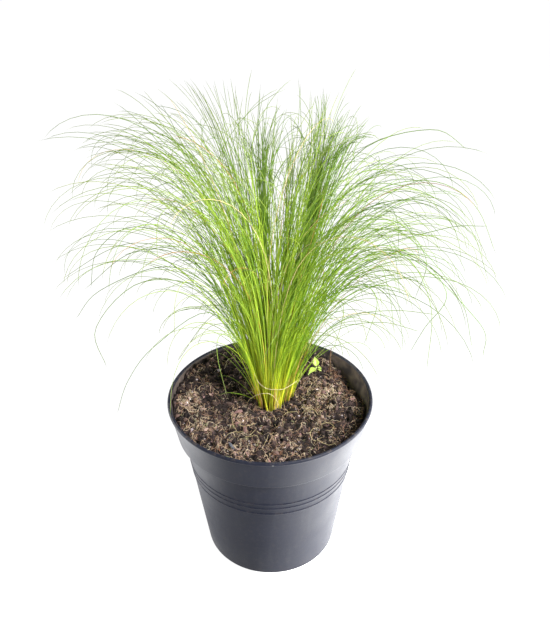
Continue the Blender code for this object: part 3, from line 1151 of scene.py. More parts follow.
@dataclass
class Soil:
    """Potting soil: lumpy surface, crumbs, chips, grains and rootlets.

    Attributes:
        looks: the materials.
        top: height of the flat ground under the crown, in millimetres.
        floor: height of its underside.
        edge: radius of its top.
        wall_foot: radius and height at which the pot's wall begins to slope outwards.
        wall_slope: how far that wall then goes outwards and upwards.
        calm: radius of the flat ground under the crown.
        litter_reach: radius within which litter lies.
        lump: size of the slow lumps.
        pit_angle: direction of the place where it has sunk away from the wall.
        pit_half_angle: half the width of that place.
        pit_start: radius at which it begins to sink.
        pit_depth: how far it has sunk there.
        bank_angle: direction in which it is banked up against the wall.
        bank_half_angle: half the width of the bank.
        bank_rise: how far it is banked up there.
        reliefs: single hollows and lumps.
        pale: places where pale litter gathers: x, y, reach and strength.
        marks: chips and grains placed one by one.
        crumbs: how many crumbs are strewn.
        rootlets: how many rootlets are strewn.
        seed: seed of every random choice.
        ball: corners and faces of the plain ball that every crumb is squeezed from.
    """

    looks: Looks
    top: float = 158.7
    floor: float = 2.3
    edge: float = 88.6
    wall_foot: tuple[float, float] = (85.9, 137.3)
    wall_slope: tuple[float, float] = (5.7, 27.2)
    calm: float = 34.0
    litter_reach: float = 87.5
    lump: float = 1.9
    pit_angle: float = math.radians(22)
    pit_half_angle: float = math.radians(21)
    pit_start: float = 76.0
    pit_depth: float = 12.0
    bank_angle: float = math.radians(112)
    bank_half_angle: float = math.radians(87)
    bank_rise: float = 8.0
    reliefs: tuple[Relief, ...] = (
        Relief(-46.0, 34.0, 15.0, -4.5),
        Relief(-30.0, 14.0, 9.0, -2.5),
        Relief(17.0, 10.0, 5.0, -1.5),
        Relief(24.0, -2.0, 4.5, -3.0),
        Relief(29.0, -13.0, 4.5, -3.6),
        Relief(35.0, -24.0, 5.0, -2.8),
        Relief(52.0, 20.0, 13.0, 2.8),
        Relief(42.0, 2.0, 9.0, 2.0),
        Relief(62.0, 2.0, 9.0, 1.8),
        Relief(-74.0, 2.0, 10.0, 1.6),
        Relief(-27.0, -20.0, 10.0, 2.0),
        Relief(-52.0, -44.0, 11.0, 1.4),
        Relief(18.0, -62.0, 12.0, 1.3),
        Relief(0.0, -34.0, 13.0, -1.6),
    )
    pale: tuple[tuple[float, float, float, float], ...] = (
        (50.0, 14.0, 17.0, 1.0),
        (38.0, -12.0, 12.0, 0.95),
        (-76.0, 0.0, 14.0, 0.9),
        (-60.0, -30.0, 16.0, 0.5),
        (-30.0, -62.0, 16.0, 0.55),
        (-26.0, -22.0, 12.0, 0.6),
        (10.0, -66.0, 18.0, 0.4),
        (-78.0, 42.0, 12.0, 0.4),
    )
    marks: tuple[Mark, ...] = (
        Mark(-50.4, 49.4, 1.1, (2.6, 1.7, 1.3), Litter.CHALK, 0.3),
        Mark(-34.0, -60.5, 0.6, (5.6, 1.7, 0.8), Litter.SLATE, -1.05),
        Mark(-22.6, -38.0, 1.0, (7.4, 1.6, 0.9), Litter.BARK, 1.62),
        Mark(-24.5, -47.0, 1.0, (1.7, 1.2, 0.8), Litter.CHALK, 0.4),
        Mark(-29.0, -14.0, 1.0, (5.0, 2.6, 1.2), Litter.BARK, 0.5),
        Mark(-16.0, -17.0, 1.2, (6.2, 2.4, 1.1), Litter.PEAT, -0.35),
        Mark(77.0, 2.7, 0.9, (3.2, 1.4, 0.8), Litter.BARK, 0.3),
        Mark(-57.8, -39.2, 0.8, (2.4, 1.8, 0.9), Litter.TAN, 0.8),
        Mark(-70.1, -38.1, 0.8, (1.4, 1.2, 0.9), Litter.CHALK, 0.0),
        Mark(-82.0, -15.7, 0.9, (2.8, 1.0, 0.5), Litter.MOSS, -0.7),
        Mark(51.0, 15.0, 1.1, (3.6, 2.4, 1.4), Litter.BARK, 0.9),
        Mark(35.0, 36.0, 1.0, (5.5, 1.3, 0.9), Litter.TWIG, 0.5),
    )
    crumbs: int = 3300
    rootlets: int = 2700
    seed: int = 23
    ball: tuple[np.ndarray, list[tuple[int, ...]]] = field(init=False)

    def __post_init__(self) -> None:
        """Keep the plain ball that every crumb is squeezed from."""
        ball = bmesh.new()
        bmesh.ops.create_icosphere(ball, subdivisions=1, radius=1.0)
        corners = np.array([corner.co[:] for corner in ball.verts])
        faces = [tuple(corner.index for corner in face.verts) for face in ball.faces]
        ball.free()
        self.ball = (corners, faces)

    def pit_share(self, x: float, y: float) -> float:
        """How far the soil has sunk away from the wall at a place.

        Args:
            x: place, in millimetres.
            y: place, in millimetres.

        Returns:
            The share of the pit's depth, from 0 to about 1.
        """
        azimuth = math.atan2(y, x)
        off = abs(azimuth - self.pit_angle) / self.pit_half_angle
        start = self.pit_start + 2.4 * math.sin(9.0 * azimuth + 1.0)
        outward = clamped((math.hypot(x, y) - start) / 11.0)
        ragged = 0.82 + 0.5 * noise.noise(Vector((x / 5.0, y / 5.0, 9.4)))
        return max(0.0, 1.0 - off * off) * outward * ragged

    def bank_share(self, x: float, y: float) -> float:
        """How far the soil is banked up against the wall at a place.

        Args:
            x: place, in millimetres.
            y: place, in millimetres.

        Returns:
            The share of the bank's rise, from 0 to 1.
        """
        off = math.atan2(y, x) - self.bank_angle
        off = abs((off + math.pi) % FULL_TURN - math.pi) / self.bank_half_angle
        return max(0.0, 1.0 - off**4) * clamped((math.hypot(x, y) - self.calm) / 50.0)

    def height(self, x: float, y: float) -> float:
        """Height of the surface at a place.

        Args:
            x: place, in millimetres.
            y: place, in millimetres.

        Returns:
            The height, in millimetres.
        """
        radius = math.hypot(x, y)
        lumps = 0.55 * math.sin(x / 9.0 + 0.6) * math.cos(y / 11.0 - 0.9)
        lumps += 0.45 * math.sin((x - 1.7 * y) / 13.0 + 2.0)
        level = self.top + clamped((radius - self.calm) / 16.0) * (self.lump * lumps - 0.9)
        level -= 1.5 * clamped((radius - 78.0) / 14.0)
        level += self.bank_rise * self.bank_share(x, y)
        return level - self.pit_depth * self.pit_share(x, y) + self.roughness(x, y)

    def roughness(self, x: float, y: float) -> float:
        """Rise of clods and hollows over the slow shape at a place.

        Args:
            x: place, in millimetres.
            y: place, in millimetres.

        Returns:
            The rise, in millimetres.
        """
        from_crown = math.hypot(x - CROWN[0], (y - CROWN[1]) * 0.8)
        coarse = noise.fractal(Vector((x / 8.5, y / 8.5, 3.1)), 0.7, 2.1, 3)
        clods = noise.noise(Vector((x / 3.6, y / 3.6, 7.7)))
        fine = noise.noise(Vector((x / 1.5, y / 1.5, 1.3)))
        rise = 2.6 * coarse + 2.3 * clods + 0.8 * fine
        rise += sum(relief.lift(x, y) for relief in self.reliefs)
        return clamped((from_crown - 14.0) / 12.0, 0.25) * rise

    def dryness(self, x: float, y: float) -> float:
        """How dry and littered the soil is at a place.

        Args:
            x: place, in millimetres.
            y: place, in millimetres.

        Returns:
            The dryness, from about -0.5 to 1.5.
        """
        gathered = max(
            strength * math.exp(-((x - pale_x) ** 2 + (y - pale_y) ** 2) / reach**2)
            for pale_x, pale_y, reach, strength in self.pale
        )
        return 1.1 * noise.noise(Vector((x / 6.5, y / 6.5, 21.0))) + gathered

    def spot(self, dice: Random, reach: float) -> tuple[float, float]:
        """Pick a place on the soil outside the crown, in millimetres.

        Args:
            dice: the random source.
            reach: how far from the middle it may lie.

        Returns:
            The place.
        """
        while True:
            radius = reach * math.sqrt(dice.random())
            angle = dice.uniform(-math.pi, math.pi)
            x, y = radius * math.cos(angle), radius * math.sin(angle)
            if math.hypot((x - CROWN[0]) / 15.0, (y - CROWN[1]) / 19.0) > 1.0:
                return x, y

    def wall_room(self, level: float) -> float:
        """Radius that soil at a height has within the wall, in millimetres."""
        (radius, foot), (outwards, upwards) = self.wall_foot, self.wall_slope
        return radius + outwards * (min(level, 164.5) - foot) / upwards - 0.9

    def build_surface(self) -> None:
        """Make the body of soil with its lumpy top, closer together towards the wall."""
        outline = [((1.0 - (1.0 - step / 66) ** 1.15) * self.edge, self.top) for step in range(67)]
        outline += [(85.4, 137.8), (79.7, 133.9), (61.9, self.floor), (0.0, self.floor)]
        pulled_from, pulled_over = 84.0, 4.6
        mesh = lathe("soil_surface", outline, 320)
        lie = np.full((len(mesh.vertices), 2), 0.4)
        for corner in mesh.vertices:
            if corner.co.z < (self.top - 1.0) * MM:
                continue
            x, y = corner.co.x / MM, corner.co.y / MM
            radius = math.hypot(x, y)
            level = self.height(x, y)
            corner.co.z = level * MM
            # painted shade and light: hollow is low in the hollows and the pit and high on the lumps,
            # and the soil material darkens and brightens its colour by it
            hollow = self.roughness(x, y) - 4.0 * self.pit_share(x, y)
            lie[corner.index] = (0.5 + hollow / 8.0, 0.5 + 0.5 * self.dryness(x, y))
            if radius > pulled_from:
                room = self.wall_room(level) - 2.0 * self.pit_share(x, y)
                share = (radius - pulled_from) / pulled_over
                corner.co.x *= 1.0 + (room / self.edge - 1.0) * share
                corner.co.y *= 1.0 + (room / self.edge - 1.0) * share
        paint_growth(mesh, np.clip(lie, 0.0, 1.0))
        settle(show("soil_surface", mesh, [self.looks[SoilEarth]]), "soil", "soil")

    def crumb(
        self, dice: Random, place: Point, sizes: Point, turn: float | None = None
    ) -> np.ndarray:
        """Squeeze one crumb out of the plain ball.

        Args:
            dice: the random source.
            place: its middle, in millimetres.
            sizes: its half sizes, in millimetres.
            turn: how it lies, in radians, or None for any way round.

        Returns:
            Its corners in metres.
        """
        corners = self.ball[0].copy()
        corners *= np.array([[dice.uniform(0.72, 1.25)] for _ in corners])
        corners *= np.array(sizes)
        if turn is None:
            lie = Matrix.Rotation(dice.uniform(0, FULL_TURN), 3, "Z")
            lie = lie @ Matrix.Rotation(dice.uniform(-0.7, 0.7), 3, "X")
        else:
            lie = Matrix.Rotation(turn, 3, "Z")
        return (corners @ np.array(lie).T + np.array(place)) * MM

    def litter(
        self, dice: Random, size: float, flat: float, dry: float
    ) -> tuple[Litter, Point]:
        """Draw what one strewn crumb is.

        Args:
            dice: the random source.
            size: its greatest half size, in millimetres.
            flat: its thickness for a size of one.
            dry: how dry the soil is there.

        Returns:
            Its kind and its half sizes.
        """
        sizes = (size, size * dice.uniform(0.28, 0.95), size * flat)
        roll = dice.random() - 0.42 * dry + 0.10
        if roll < 0.05:
            return Litter.TAN, (0.8 * size, 0.35 * size, 0.3 * size)
        if roll < 0.12:
            return Litter.BARK, (0.8 * size, 0.5 * size, 0.35 * size)
        if roll < 0.16:
            return Litter.MOSS, sizes
        if roll < 0.175:
            return Litter.CHALK, (0.5, 0.4, 0.4)
        if roll < 0.28:
            return Litter.TWIG, sizes
        return (Litter.HUMUS if dice.random() < 0.25 + 0.3 * dry else Litter.PEAT), sizes

    def build_crumbs(self) -> None:
        """Strew crumbs, chips and grains over the surface."""
        dice = Random(self.seed)
        corners: list[np.ndarray] = []
        growth: list[np.ndarray] = []

        def lay(place: Point, sizes: Point, kind: Litter, turn: float | None = None) -> None:
            """Lay one crumb; what it takes is as in crumb, and kind picks its colour."""
            corners.append(self.crumb(dice, place, sizes, turn))
            growth.append(np.tile([dice.random(), kind.value], (len(corners[-1]), 1)))

        for _ in range(self.crumbs):
            x, y = self.spot(dice, self.litter_reach)
            size = min(3.4, 0.5 + 0.75 * dice.expovariate(1.0))
            flat = dice.uniform(0.3, 0.8)
            kind, sizes = self.litter(dice, size, flat, self.dryness(x, y))
            lay((x, y, self.height(x, y) + 0.25 * size * flat), sizes, kind)
        for mark in self.marks:
            level = self.height(mark.x, mark.y) + mark.lift
            lay((mark.x, mark.y, level), mark.sizes, mark.kind, mark.turn)
        total = len(self.ball[0])
        faces = [
            tuple(corner + total * number for corner in face)
            for number in range(len(corners))
            for face in self.ball[1]
        ]
        mesh = bpy.data.meshes.new("soil_crumbs")
        mesh.from_pydata(np.vstack(corners).tolist(), [], faces)
        paint_growth(mesh, np.vstack(growth))
        settle(show("soil_crumbs", mesh, [self.looks[CrumbMix]], smooth=False), "soil")

    def rootlet(
        self, dice: Random, start: tuple[float, float], length: float, lift: float, heading: float
    ) -> np.ndarray:
        """Lay the line of one curled rootlet over the surface.

        Args:
            dice: the random source.
            start: where it begins, in millimetres.
            length: its length, in millimetres.
            lift: how high its middle stands.
            heading: the way it sets off.

        Returns:
            The line in metres.
        """
        steps = 7
        curl = dice.gauss(0.0, 0.38)
        x, y = start
        points = []
        for step in range(steps + 1):
            rise = lift * math.sin(math.pi * (step / steps)) + 0.15
            points.append((x * MM, y * MM, (self.height(x, y) + rise) * MM))
            heading += curl + dice.gauss(0.0, 0.3)
            x += math.cos(heading) * length / steps
            y += math.sin(heading) * length / steps
            if math.hypot(x, y) > self.litter_reach:
                heading += 2.2
                x *= 0.97
                y *= 0.97
        return np.array(points)

    def build_rootlets(self) -> None:
        """Strew rootlets and straw bits, gather an orange tuft, and hang roots over the pit."""
        dice = Random(self.seed + 1)
        strands = StrandMesh()

        def lay(line: np.ndarray, radius: float, tone: float) -> None:
            """Add one rootlet, thinner towards its end."""
            half = radius * MM * (1.0 - 0.55 * np.linspace(0.0, 1.0, len(line) - 1))
            strands.add(line, half, 1.0, UP, tone)

        laid = 0
        while laid < self.rootlets:
            x, y = self.spot(dice, self.litter_reach - 0.5)
            dry = self.dryness(x, y)
            if dice.random() > 0.16 + 0.75 * dry:
                continue
            length = min(24.0, 2.2 + 3.6 * dice.expovariate(1.0))
            lift = abs(dice.gauss(0.0, 0.9)) + 0.25
            tone = clamped(dice.gauss(0.60 + 0.26 * dry, 0.26))
            line = self.rootlet(dice, (x, y), length, lift, dice.uniform(-math.pi, math.pi))
            lay(line, dice.uniform(0.11, 0.30), tone)
            laid += 1
        for turn in range(16):
            start = (6.3 + dice.gauss(0, 1.2), -71.3 + dice.gauss(0, 1.2))
            heading = turn * math.pi / 8 + dice.uniform(-0.2, 0.2)
            lay(self.rootlet(dice, start, dice.uniform(5, 9), 1.3, heading), 0.22, 0.46)
        # painted shade: the rootlets in the pit take darker tones than those elsewhere, for the shade
        # in the pit
        for _ in range(34):
            angle = self.pit_angle + dice.uniform(-0.9, 0.9) * self.pit_half_angle
            inner = dice.uniform(70.0, 77.0)
            start = (inner * math.cos(angle), inner * math.sin(angle))
            heading = angle + dice.uniform(-0.9, 0.9)
            line = self.rootlet(dice, start, dice.uniform(9, 17), dice.uniform(0.5, 3.0), heading)
            lay(line, dice.uniform(0.16, 0.3), dice.uniform(0.12, 0.5))
        for _ in range(46):
            angle = dice.uniform(-math.pi, math.pi) if dice.random() < 0.4 else dice.gauss(0.1, 0.4)
            foot = self.height(86.6 * math.cos(angle), 86.6 * math.sin(angle))
            tall = dice.uniform(2.5, 7.0)
            lean = dice.gauss(0.0, 0.05)
            route = [
                (radius * math.cos(side), radius * math.sin(side), level)
                for radius, side, level in (
                    (86.6, angle, foot - 0.5),
                    (86.9, angle + lean, foot + tall / 2),
                    (85.6, angle + lean + lean, foot + tall),
                )
            ]
            lay(smooth_line(route, 7), 0.16, dice.uniform(0.1, 0.6))
        settle(strands.build("soil_rootlets", [self.looks[RootFibre]]), "soil")

    def build(self) -> None:
        """Make and dress the soil and what lies on it."""
        self.build_surface()
        self.build_crumbs()
        self.build_rootlets()


# the long blades that arch out on their own at both sides, in millimetres
ARCS: tuple[tuple[Point, ...], ...] = (
    ((-4, 4, 157), (-24, 2, 223), (-55, 0, 281), (-109, -2, 290), (-151, -5, 247), (-146, -6, 205)),
    (
        (-4, 2, 157), (-13, 0, 185), (-48, -5, 261), (-100, -9, 231),
        (-127, -12, 196), (-141, -14, 159),
    ),
    ((-4, 6, 158), (-30, 4, 253), (-63, 3, 294), (-96, 2, 302), (-146, 1, 280), (-169, 0, 253)),
    ((-4, 8, 157), (-38, 5, 278), (-54, 4, 298), (-86, 3, 318), (-119, 2, 314), (-159, 0, 281)),
    ((-3, 8, 157), (-40, 7, 287), (-58, 7, 306), (-99, 7, 322), (-132, 6, 318), (-178, 6, 289)),
    ((-3, 10, 157), (-19, 9, 235), (-45, 7, 304), (-105, 6, 338), (-142, 5, 318), (-153, 4, 280)),
    ((-6, 4, 157), (-18, 2, 201), (-41, -1, 253), (-56, -2, 250), (-83, -4, 210)),
    ((-5, 6, 158), (-18, 5, 210), (-30, 5, 246), (-45, 5, 263), (-80, 4, 258)),
    ((9, 8, 157), (69, 6, 304), (119, 5, 312), (154, 5, 272), (138, 4, 238), (127, 4, 212)),
    ((9, 12, 157), (23, 11, 233), (54, 8, 355), (106, 7, 372), (162, 5, 340), (190, 4, 281)),
    ((10, 12, 157), (45, 10, 309), (82, 9, 363), (130, 8, 375), (168, 7, 354), (192, 6, 309)),
    ((10, 16, 157), (27, 15, 261), (43, 15, 334), (73, 15, 397), (128, 14, 415), (159, 14, 398)),
    ((11, 10, 157), (28, 10, 217), (61, 9, 299), (142, 8, 332), (183, 8, 335)),
    ((13, 8, 157), (40, 6, 220), (71, 5, 250), (110, 3, 257), (147, 2, 253)),
    ((13, 6, 157), (28, 4, 193), (57, 2, 236), (97, 0, 247), (133, -2, 238)),
    ((12, 6, 158), (42, 2, 259), (77, -1, 285), (93, -2, 268), (83, -4, 224)),
    ((10, 8, 158), (27, 6, 247), (67, 3, 333), (101, 2, 321), (113, 0, 272)),
    ((10, 8, 158), (51, 5, 316), (99, 4, 343), (132, 3, 308), (126, 2, 268)),
    ((12, 6, 158), (52, 2, 277), (89, 0, 303), (102, 0, 280), (111, -2, 233)),
    ((11, 6, 158), (56, 1, 289), (109, -1, 314), (139, -4, 266), (142, -6, 197)),
    ((11, 8, 158), (32, 6, 251), (92, 4, 336), (160, 1, 278), (183, 0, 216)),
    ((11, 8, 158), (36, 5, 257), (101, 1, 317), (183, -3, 248), (192, -4, 210)),
)

# blades that hang low over the soil, in millimetres
LOW_BLADES: tuple[tuple[Point, ...], ...] = (
    ((-14, 12, 157), (-20, 24, 164), (-31, 38, 172), (-45, 52, 178), (-62, 64, 176)),
    ((-12, 15, 157), (-26, 30, 176), (-44, 46, 190), (-66, 58, 192), (-84, 66, 176)),
    ((-10, 18, 157), (-24, 32, 178), (-40, 44, 192), (-55, 52, 188), (-60, 55, 168)),
    ((-13, 6, 157), (-24, 10, 170), (-38, 16, 178), (-50, 20, 176)),
    ((-15, 8, 157), (-26, 4, 166), (-40, 2, 170), (-52, 4, 164)),
    ((20, 22, 157), (34, 34, 172), (52, 40, 192), (78, 42, 212), (104, 38, 226)),
    ((22, 26, 157), (36, 42, 176), (56, 58, 196), (78, 74, 208)),
)

# straw strands looped round the crown's foot, in millimetres
STRAW_LOOPS: tuple[tuple[Point, ...], ...] = (
    (
        (-21.7, 1.0, 158.5), (-18.6, -6.0, 168.6), (-14.7, -10.0, 174.5),
        (-11.0, -13.0, 178.9), (-5.5, -15.0, 181.6), (0.0, -16.0, 181.7),
        (4.5, -15.0, 176.3), (7.2, -13.0, 169.0), (8.0, -9.0, 158.0),
    ),
    (
        (-15.0, -3.0, 199.0), (-12.6, -8.0, 193.9), (-9.0, -12.0, 190.1),
        (-4.5, -14.5, 187.6), (0.0, -15.5, 186.6), (5.4, -15.5, 186.3),
        (11.3, -14.0, 185.3), (18.3, -8.0, 184.9), (25.9, 1.0, 184.5),
    ),
)


@dataclass(frozen=True)
class Stance:
    """How one lock or blade stands and arches.

    Attributes:
        foot: where it leaves the crown, in millimetres.
        lean_side: lean to the right, in degrees.
        lean_back: lean to the back, in degrees.
        direction: the way it arches, in radians.
        arch: how far it arches, in degrees.
        late: how late the arch comes.
        length: its length, in millimetres.
        droop: how much further its end bends over, in degrees.
        hook: how late that comes.
        drift: how far the arch turns sideways along the length.
        sway: size, rate and phase of a slight waver.
    """

    foot: tuple[float, float]
    lean_side: float
    lean_back: float
    direction: float
    arch: float
    late: float
    length: float
    droop: float = 0.0
    hook: float = 6.0
    drift: float = 0.0
    sway: Point = (0.0, 0.0, 0.0)

    def line(self, level: float, count: int) -> np.ndarray:
        """Middle line from the foot to the tip.

        Args:
            level: height of the foot, in millimetres.
            count: how many points it gets.

        Returns:
            The points in metres.
        """
        share = np.linspace(0.0, 1.0, count)
        ramp = np.clip((share - 0.008) / 0.03, 0.0, 1.0)
        size, rate, phase = self.sway
        bend = np.radians(self.arch * share**self.late + self.droop * share**self.hook)
        bend += size * np.sin(rate * share + phase) * share
        turn = self.direction + self.drift * share + 1.6 * size * np.sin(rate * share - phase) * share
        tilt_x = math.radians(self.lean_side) * ramp + bend * np.cos(turn)
        tilt_y = math.radians(self.lean_back) * ramp + bend * np.sin(turn)
        tilt = np.hypot(tilt_x, tilt_y) + 1e-9
        heading = np.column_stack(
            [np.sin(tilt) * tilt_x / tilt, np.sin(tilt) * tilt_y / tilt, np.cos(tilt)]
        )
        steps = (heading[1:] + heading[:-1]) / 2 * (self.length / (count - 1))
        line = np.vstack([np.zeros(3), np.cumsum(steps, axis=0)])
        return (line + np.array([*self.foot, level])) * MM

    def across(self) -> np.ndarray:
        """Level direction at right angles to the arch."""
        return np.array([-math.sin(self.direction), math.cos(self.direction), 0.0])


@dataclass(frozen=True)
class Sheaf:
    """A lock whose blades stand together, upright and darker.

    Attributes:
        stance: lean to the side and to the back in degrees, direction in radians, arch in
            degrees, how late it comes, and length in millimetres.
        blades: how many blades it has.
        spread: spread of their feet, in millimetres.
        tone: their middle tone.
    """

    stance: tuple[float, float, float, float, float, float]
    blades: int
    spread: float
    tone: float


@dataclass(frozen=True)
class Reach:
    """Long blades that arch out past the locks, each measure with its middle and its spread.

    Attributes:
        count: how many there are.
        side: 1 for the right and -1 for the left.
        lean: lean to that side, in degrees.
        turn: how far the arch points to the back, in radians.
        arch: how far they arch, in degrees.
        late: how late the arch comes.
        length: their length, in millimetres.
    """

    count: int
    side: int
    lean: tuple[float, float]
    turn: tuple[float, float]
    arch: tuple[float, float]
    late: tuple[float, float]
    length: tuple[float, float]

    def blade(self, dice: np.random.Generator) -> Stance:
        """Draw one blade.

        Args:
            dice: the seeded random source.

        Returns:
            Its stance.
        """
        turn = dice.normal(*self.turn)
        return Stance(
            foot=(CROWN[0] + self.side * dice.uniform(3.0, 13.0), dice.uniform(3.0, 18.0)),
            lean_side=self.side * dice.normal(*self.lean),
            lean_back=dice.normal(3.5, 3.0),
            direction=turn if self.side > 0 else math.pi - turn,
            arch=dice.normal(*self.arch),
            late=max(1.4, dice.normal(*self.late)),
            length=dice.normal(*self.length),
            drift=dice.normal(0, 0.5),
            sway=(dice.normal(0, 0.04), dice.uniform(3, 8), dice.uniform(0, FULL_TURN)),
        )


@dataclass
class Grass:
    """The clump: locks set in a seed-head spiral, each a spray of hair-fine blades.

    Attributes:
        looks: the materials.
        soil: the soil that it stands in.
        locks: how many locks there are.
        lock_seed: seed of the locks' own spread, the same as in the solids.
        blade_seed: seed of the blades.
        half_width: half the crown's width, in millimetres.
        half_depth: half its depth.
        skew: how far its back lies to the right.
        narrowing: how much narrower its front is.
        foot_level: height where blades begin, just under the soil's surface.
        fullness: how many blades a full lock has.
        fineness: how fine the blades are, one being as wide as they are said to be.
        stubs: how many short sheaths and stubs there are at the crown.
        margin: how far blades may stand past the solids' box, in millimetres.
        stretch: how much further they may, as a share of the box's size.
        reaches: the long blades that stand out past the locks.
        sheaves: the upright locks by number.
    """

    looks: Looks
    soil: Soil
    locks: int = 50
    lock_seed: int = 11
    blade_seed: int = 3
    half_width: float = 16.0
    half_depth: float = 21.0
    skew: float = 5.0
    narrowing: float = 0.30
    foot_level: float = 156.6
    fullness: float = 51.0
    fineness: float = 0.76
    stubs: int = 150
    margin: float = 7.0
    stretch: float = 0.022
    reaches: tuple[Reach, ...] = (
        Reach(9, 1, (6.0, 2.0), (-0.35, 0.14), (148.0, 9.0), (2.9, 0.5), (314.0, 20.0)),
        Reach(6, 1, (15.0, 3.0), (-0.15, 0.2), (132.0, 12.0), (2.0, 0.25), (300.0, 14.0)),
        Reach(7, 1, (3.0, 1.0), (0.96, 0.1), (35.0, 5.0), (3.1, 0.3), (295.0, 8.0)),
        Reach(38, -1, (4.0, 1.5), (0.85, 0.16), (52.0, 9.0), (3.2, 0.5), (311.0, 10.0)),
        Reach(30, -1, (6.0, 2.0), (0.25, 0.3), (132.0, 20.0), (3.0, 0.6), (334.0, 14.0)),
        Reach(10, -1, (17.0, 3.0), (0.3, 0.3), (132.0, 12.0), (1.8, 0.2), (286.0, 14.0)),
    )
    sheaves: dict[int, Sheaf] = field(
        default_factory=lambda: {
            1: Sheaf((-2.2, 3.0, 1.2, 9.0, 2.6, 268.0), 66, 2.2, 0.16),
            3: Sheaf((3.6, 3.0, 1.3, 12.0, 2.4, 254.0), 44, 3.4, 0.28),
            16: Sheaf((8.6, 6.0, 0.9, 9.0, 2.4, 270.0), 124, 4.6, 0.16),
        }
    )

    def lock(self, index: int, dice: Random) -> Stance:
        """Stance of one lock, the same as that of its solid.

        Args:
            index: its number from the crown's middle outwards.
            dice: the seeded random source, drawn from in order.

        Returns:
            The stance.
        """
        ring = math.sqrt((index + 0.5) / self.locks)
        angle = index * GOLDEN_TURN + 0.35
        x, y = ring * math.cos(angle), ring * math.sin(angle)
        jitter = [dice.uniform(-1, 1) for _ in range(3)]
        front, back = max(0.0, -y), max(0.0, y)
        side = 1 if x > 0 else -1
        foot = (
            CROWN[0] + self.half_width * (1 - self.narrowing * front) * x + self.skew * y,
            CROWN[1] + self.half_depth * y,
        )
        if index in self.sheaves:
            return Stance(foot, *self.sheaves[index].stance)
        inner = max(0.0, 1.0 - ring / 0.62)
        lean_side = 15.3 * x + inner * (0.9 if side > 0 else 4.2)
        lean_back = 8.0 * back - 1.6 * front
        arch_y = 0.84 * back - 0.1 * front + 0.05
        direction = math.atan2(arch_y, x + 0.16 * side) + 0.10 * jitter[0]
        sideways = abs(math.cos(direction))
        arch = 24.6 + 112 * (1 - math.exp(-((ring / 0.48) ** 2)))
        arch *= (0.65 + 0.35 * sideways) * (1 + 0.12 * jitter[1]) * (1 - 0.15 * front)
        outer = max(0.0, ring - 0.78)
        late = 3.8 - 0.7 * ring - 2.2 * outer
        length = 254 + 81 * ring * sideways + 13 * back - 12 * front
        length -= 146 * outer * sideways
        length *= 1 + (0.03 + 0.4 * outer) * jitter[2]
        if side > 0:
            lean_side += 1.4 * x
            arch *= 1.21
            late -= 0.13
            length -= 22 * ring * sideways
        return Stance(foot, lean_side, lean_back, direction, arch, late, length)

    def blade(self, lock: Stance, dice: np.random.Generator, spread: float) -> Stance:
        """Stance of one blade of a lock.

        Args:
            lock: the lock's own stance.
            dice: the seeded random source.
            spread: spread of the feet, in millimetres.

        Returns:
            The blade's stance.
        """
        away = spread * math.sqrt(dice.random())
        angle = dice.random() * FULL_TURN
        arch = lock.arch * clamped(dice.normal(1.03, 0.28), 0.4, 1.4)
        if lock.foot[0] > CROWN[0]:
            arch *= 1.18
        droop = abs(dice.normal(0.0, 22.0))
        if lock.arch > 95:
            droop = max(0.0, droop - 15.0)
        hook = dice.uniform(4.5, 8.0)
        if lock.arch < 85 and dice.random() < 0.75:
            droop += dice.uniform(70, 130)
            hook += dice.uniform(1.0, 5.0)
        arch = min(arch, 158.0)
        return Stance(
            foot=(lock.foot[0] + away * math.cos(angle), lock.foot[1] + away * math.sin(angle)),
            lean_side=lock.lean_side + dice.normal(0, 3.0),
            lean_back=lock.lean_back + dice.normal(0, 1.8),
            direction=lock.direction + dice.normal(0, 0.30),
            arch=arch,
            late=max(1.4, lock.late + dice.normal(0.0, 0.45)),
            length=lock.length * clamped(dice.normal(0.855, 0.24), 0.42, 1.09) + 3.0,
            droop=min(droop, 168.0 - arch),
            hook=hook,
            drift=dice.normal(0, 1.15),
            sway=(dice.normal(0, 0.05), dice.uniform(3, 8), dice.uniform(0, 6.28)),
        )

    def reined(self, blade: Stance) -> Stance:
        """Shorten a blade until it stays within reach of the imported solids.

        Args:
            blade: the stance wanted.

        Returns:
            The stance kept.
        """
        low, high = np.array(CAD_BOX[0]), np.array(CAD_BOX[1])
        room = self.stretch * (high - low) + self.margin * MM
        for _ in range(12):
            line = blade.line(self.foot_level, 40)
            if (line[5:] > low - room).all() and (line < high + room).all():
                break
            blade = replace(blade, length=blade.length * 0.95)
        return blade

    def grow(
        self, strands: StrandMesh, blade: Stance, dice: np.random.Generator, tone: float,
        growth: Growth = Growth.GREEN, taper: float = 2.6,
    ) -> None:
        """Add one blade to a mesh: a stout sheath that thins to a hair.

        Args:
            strands: the mesh being gathered.
            blade: how it is to stand.
            dice: the seeded random source.
            tone: the tone it carries, made darker far out on the right as painted shade, where the
                lamps on that side light the blades most.
            growth: green or straw.
            taper: how late it thins out.
        """
        line = thinned(self.reined(blade).line(self.foot_level, 110), 20)
        run = np.concatenate([[0.0], np.cumsum(np.linalg.norm(np.diff(line, axis=0), axis=1))])
        share = (run / run[-1])[:-1]
        sheath = 1.0 + 0.8 * np.exp(-((run[:-1] / (17 * MM)) ** 2))
        stout = dice.uniform(0.10, 0.26) * MM
        half = self.fineness * (stout * sheath * (1.0 - share**taper) ** 0.8 + 0.24 * MM)
        # painted shade: blades that end far out on the right take a darker tone, where the lamps on
        # that side light them most
        reach = clamped((line[-1][0] - 60 * MM) / (100 * MM))
        strands.add(line, half, 0.88, blade.across(), max(0.0, tone - 0.30 * reach), growth)

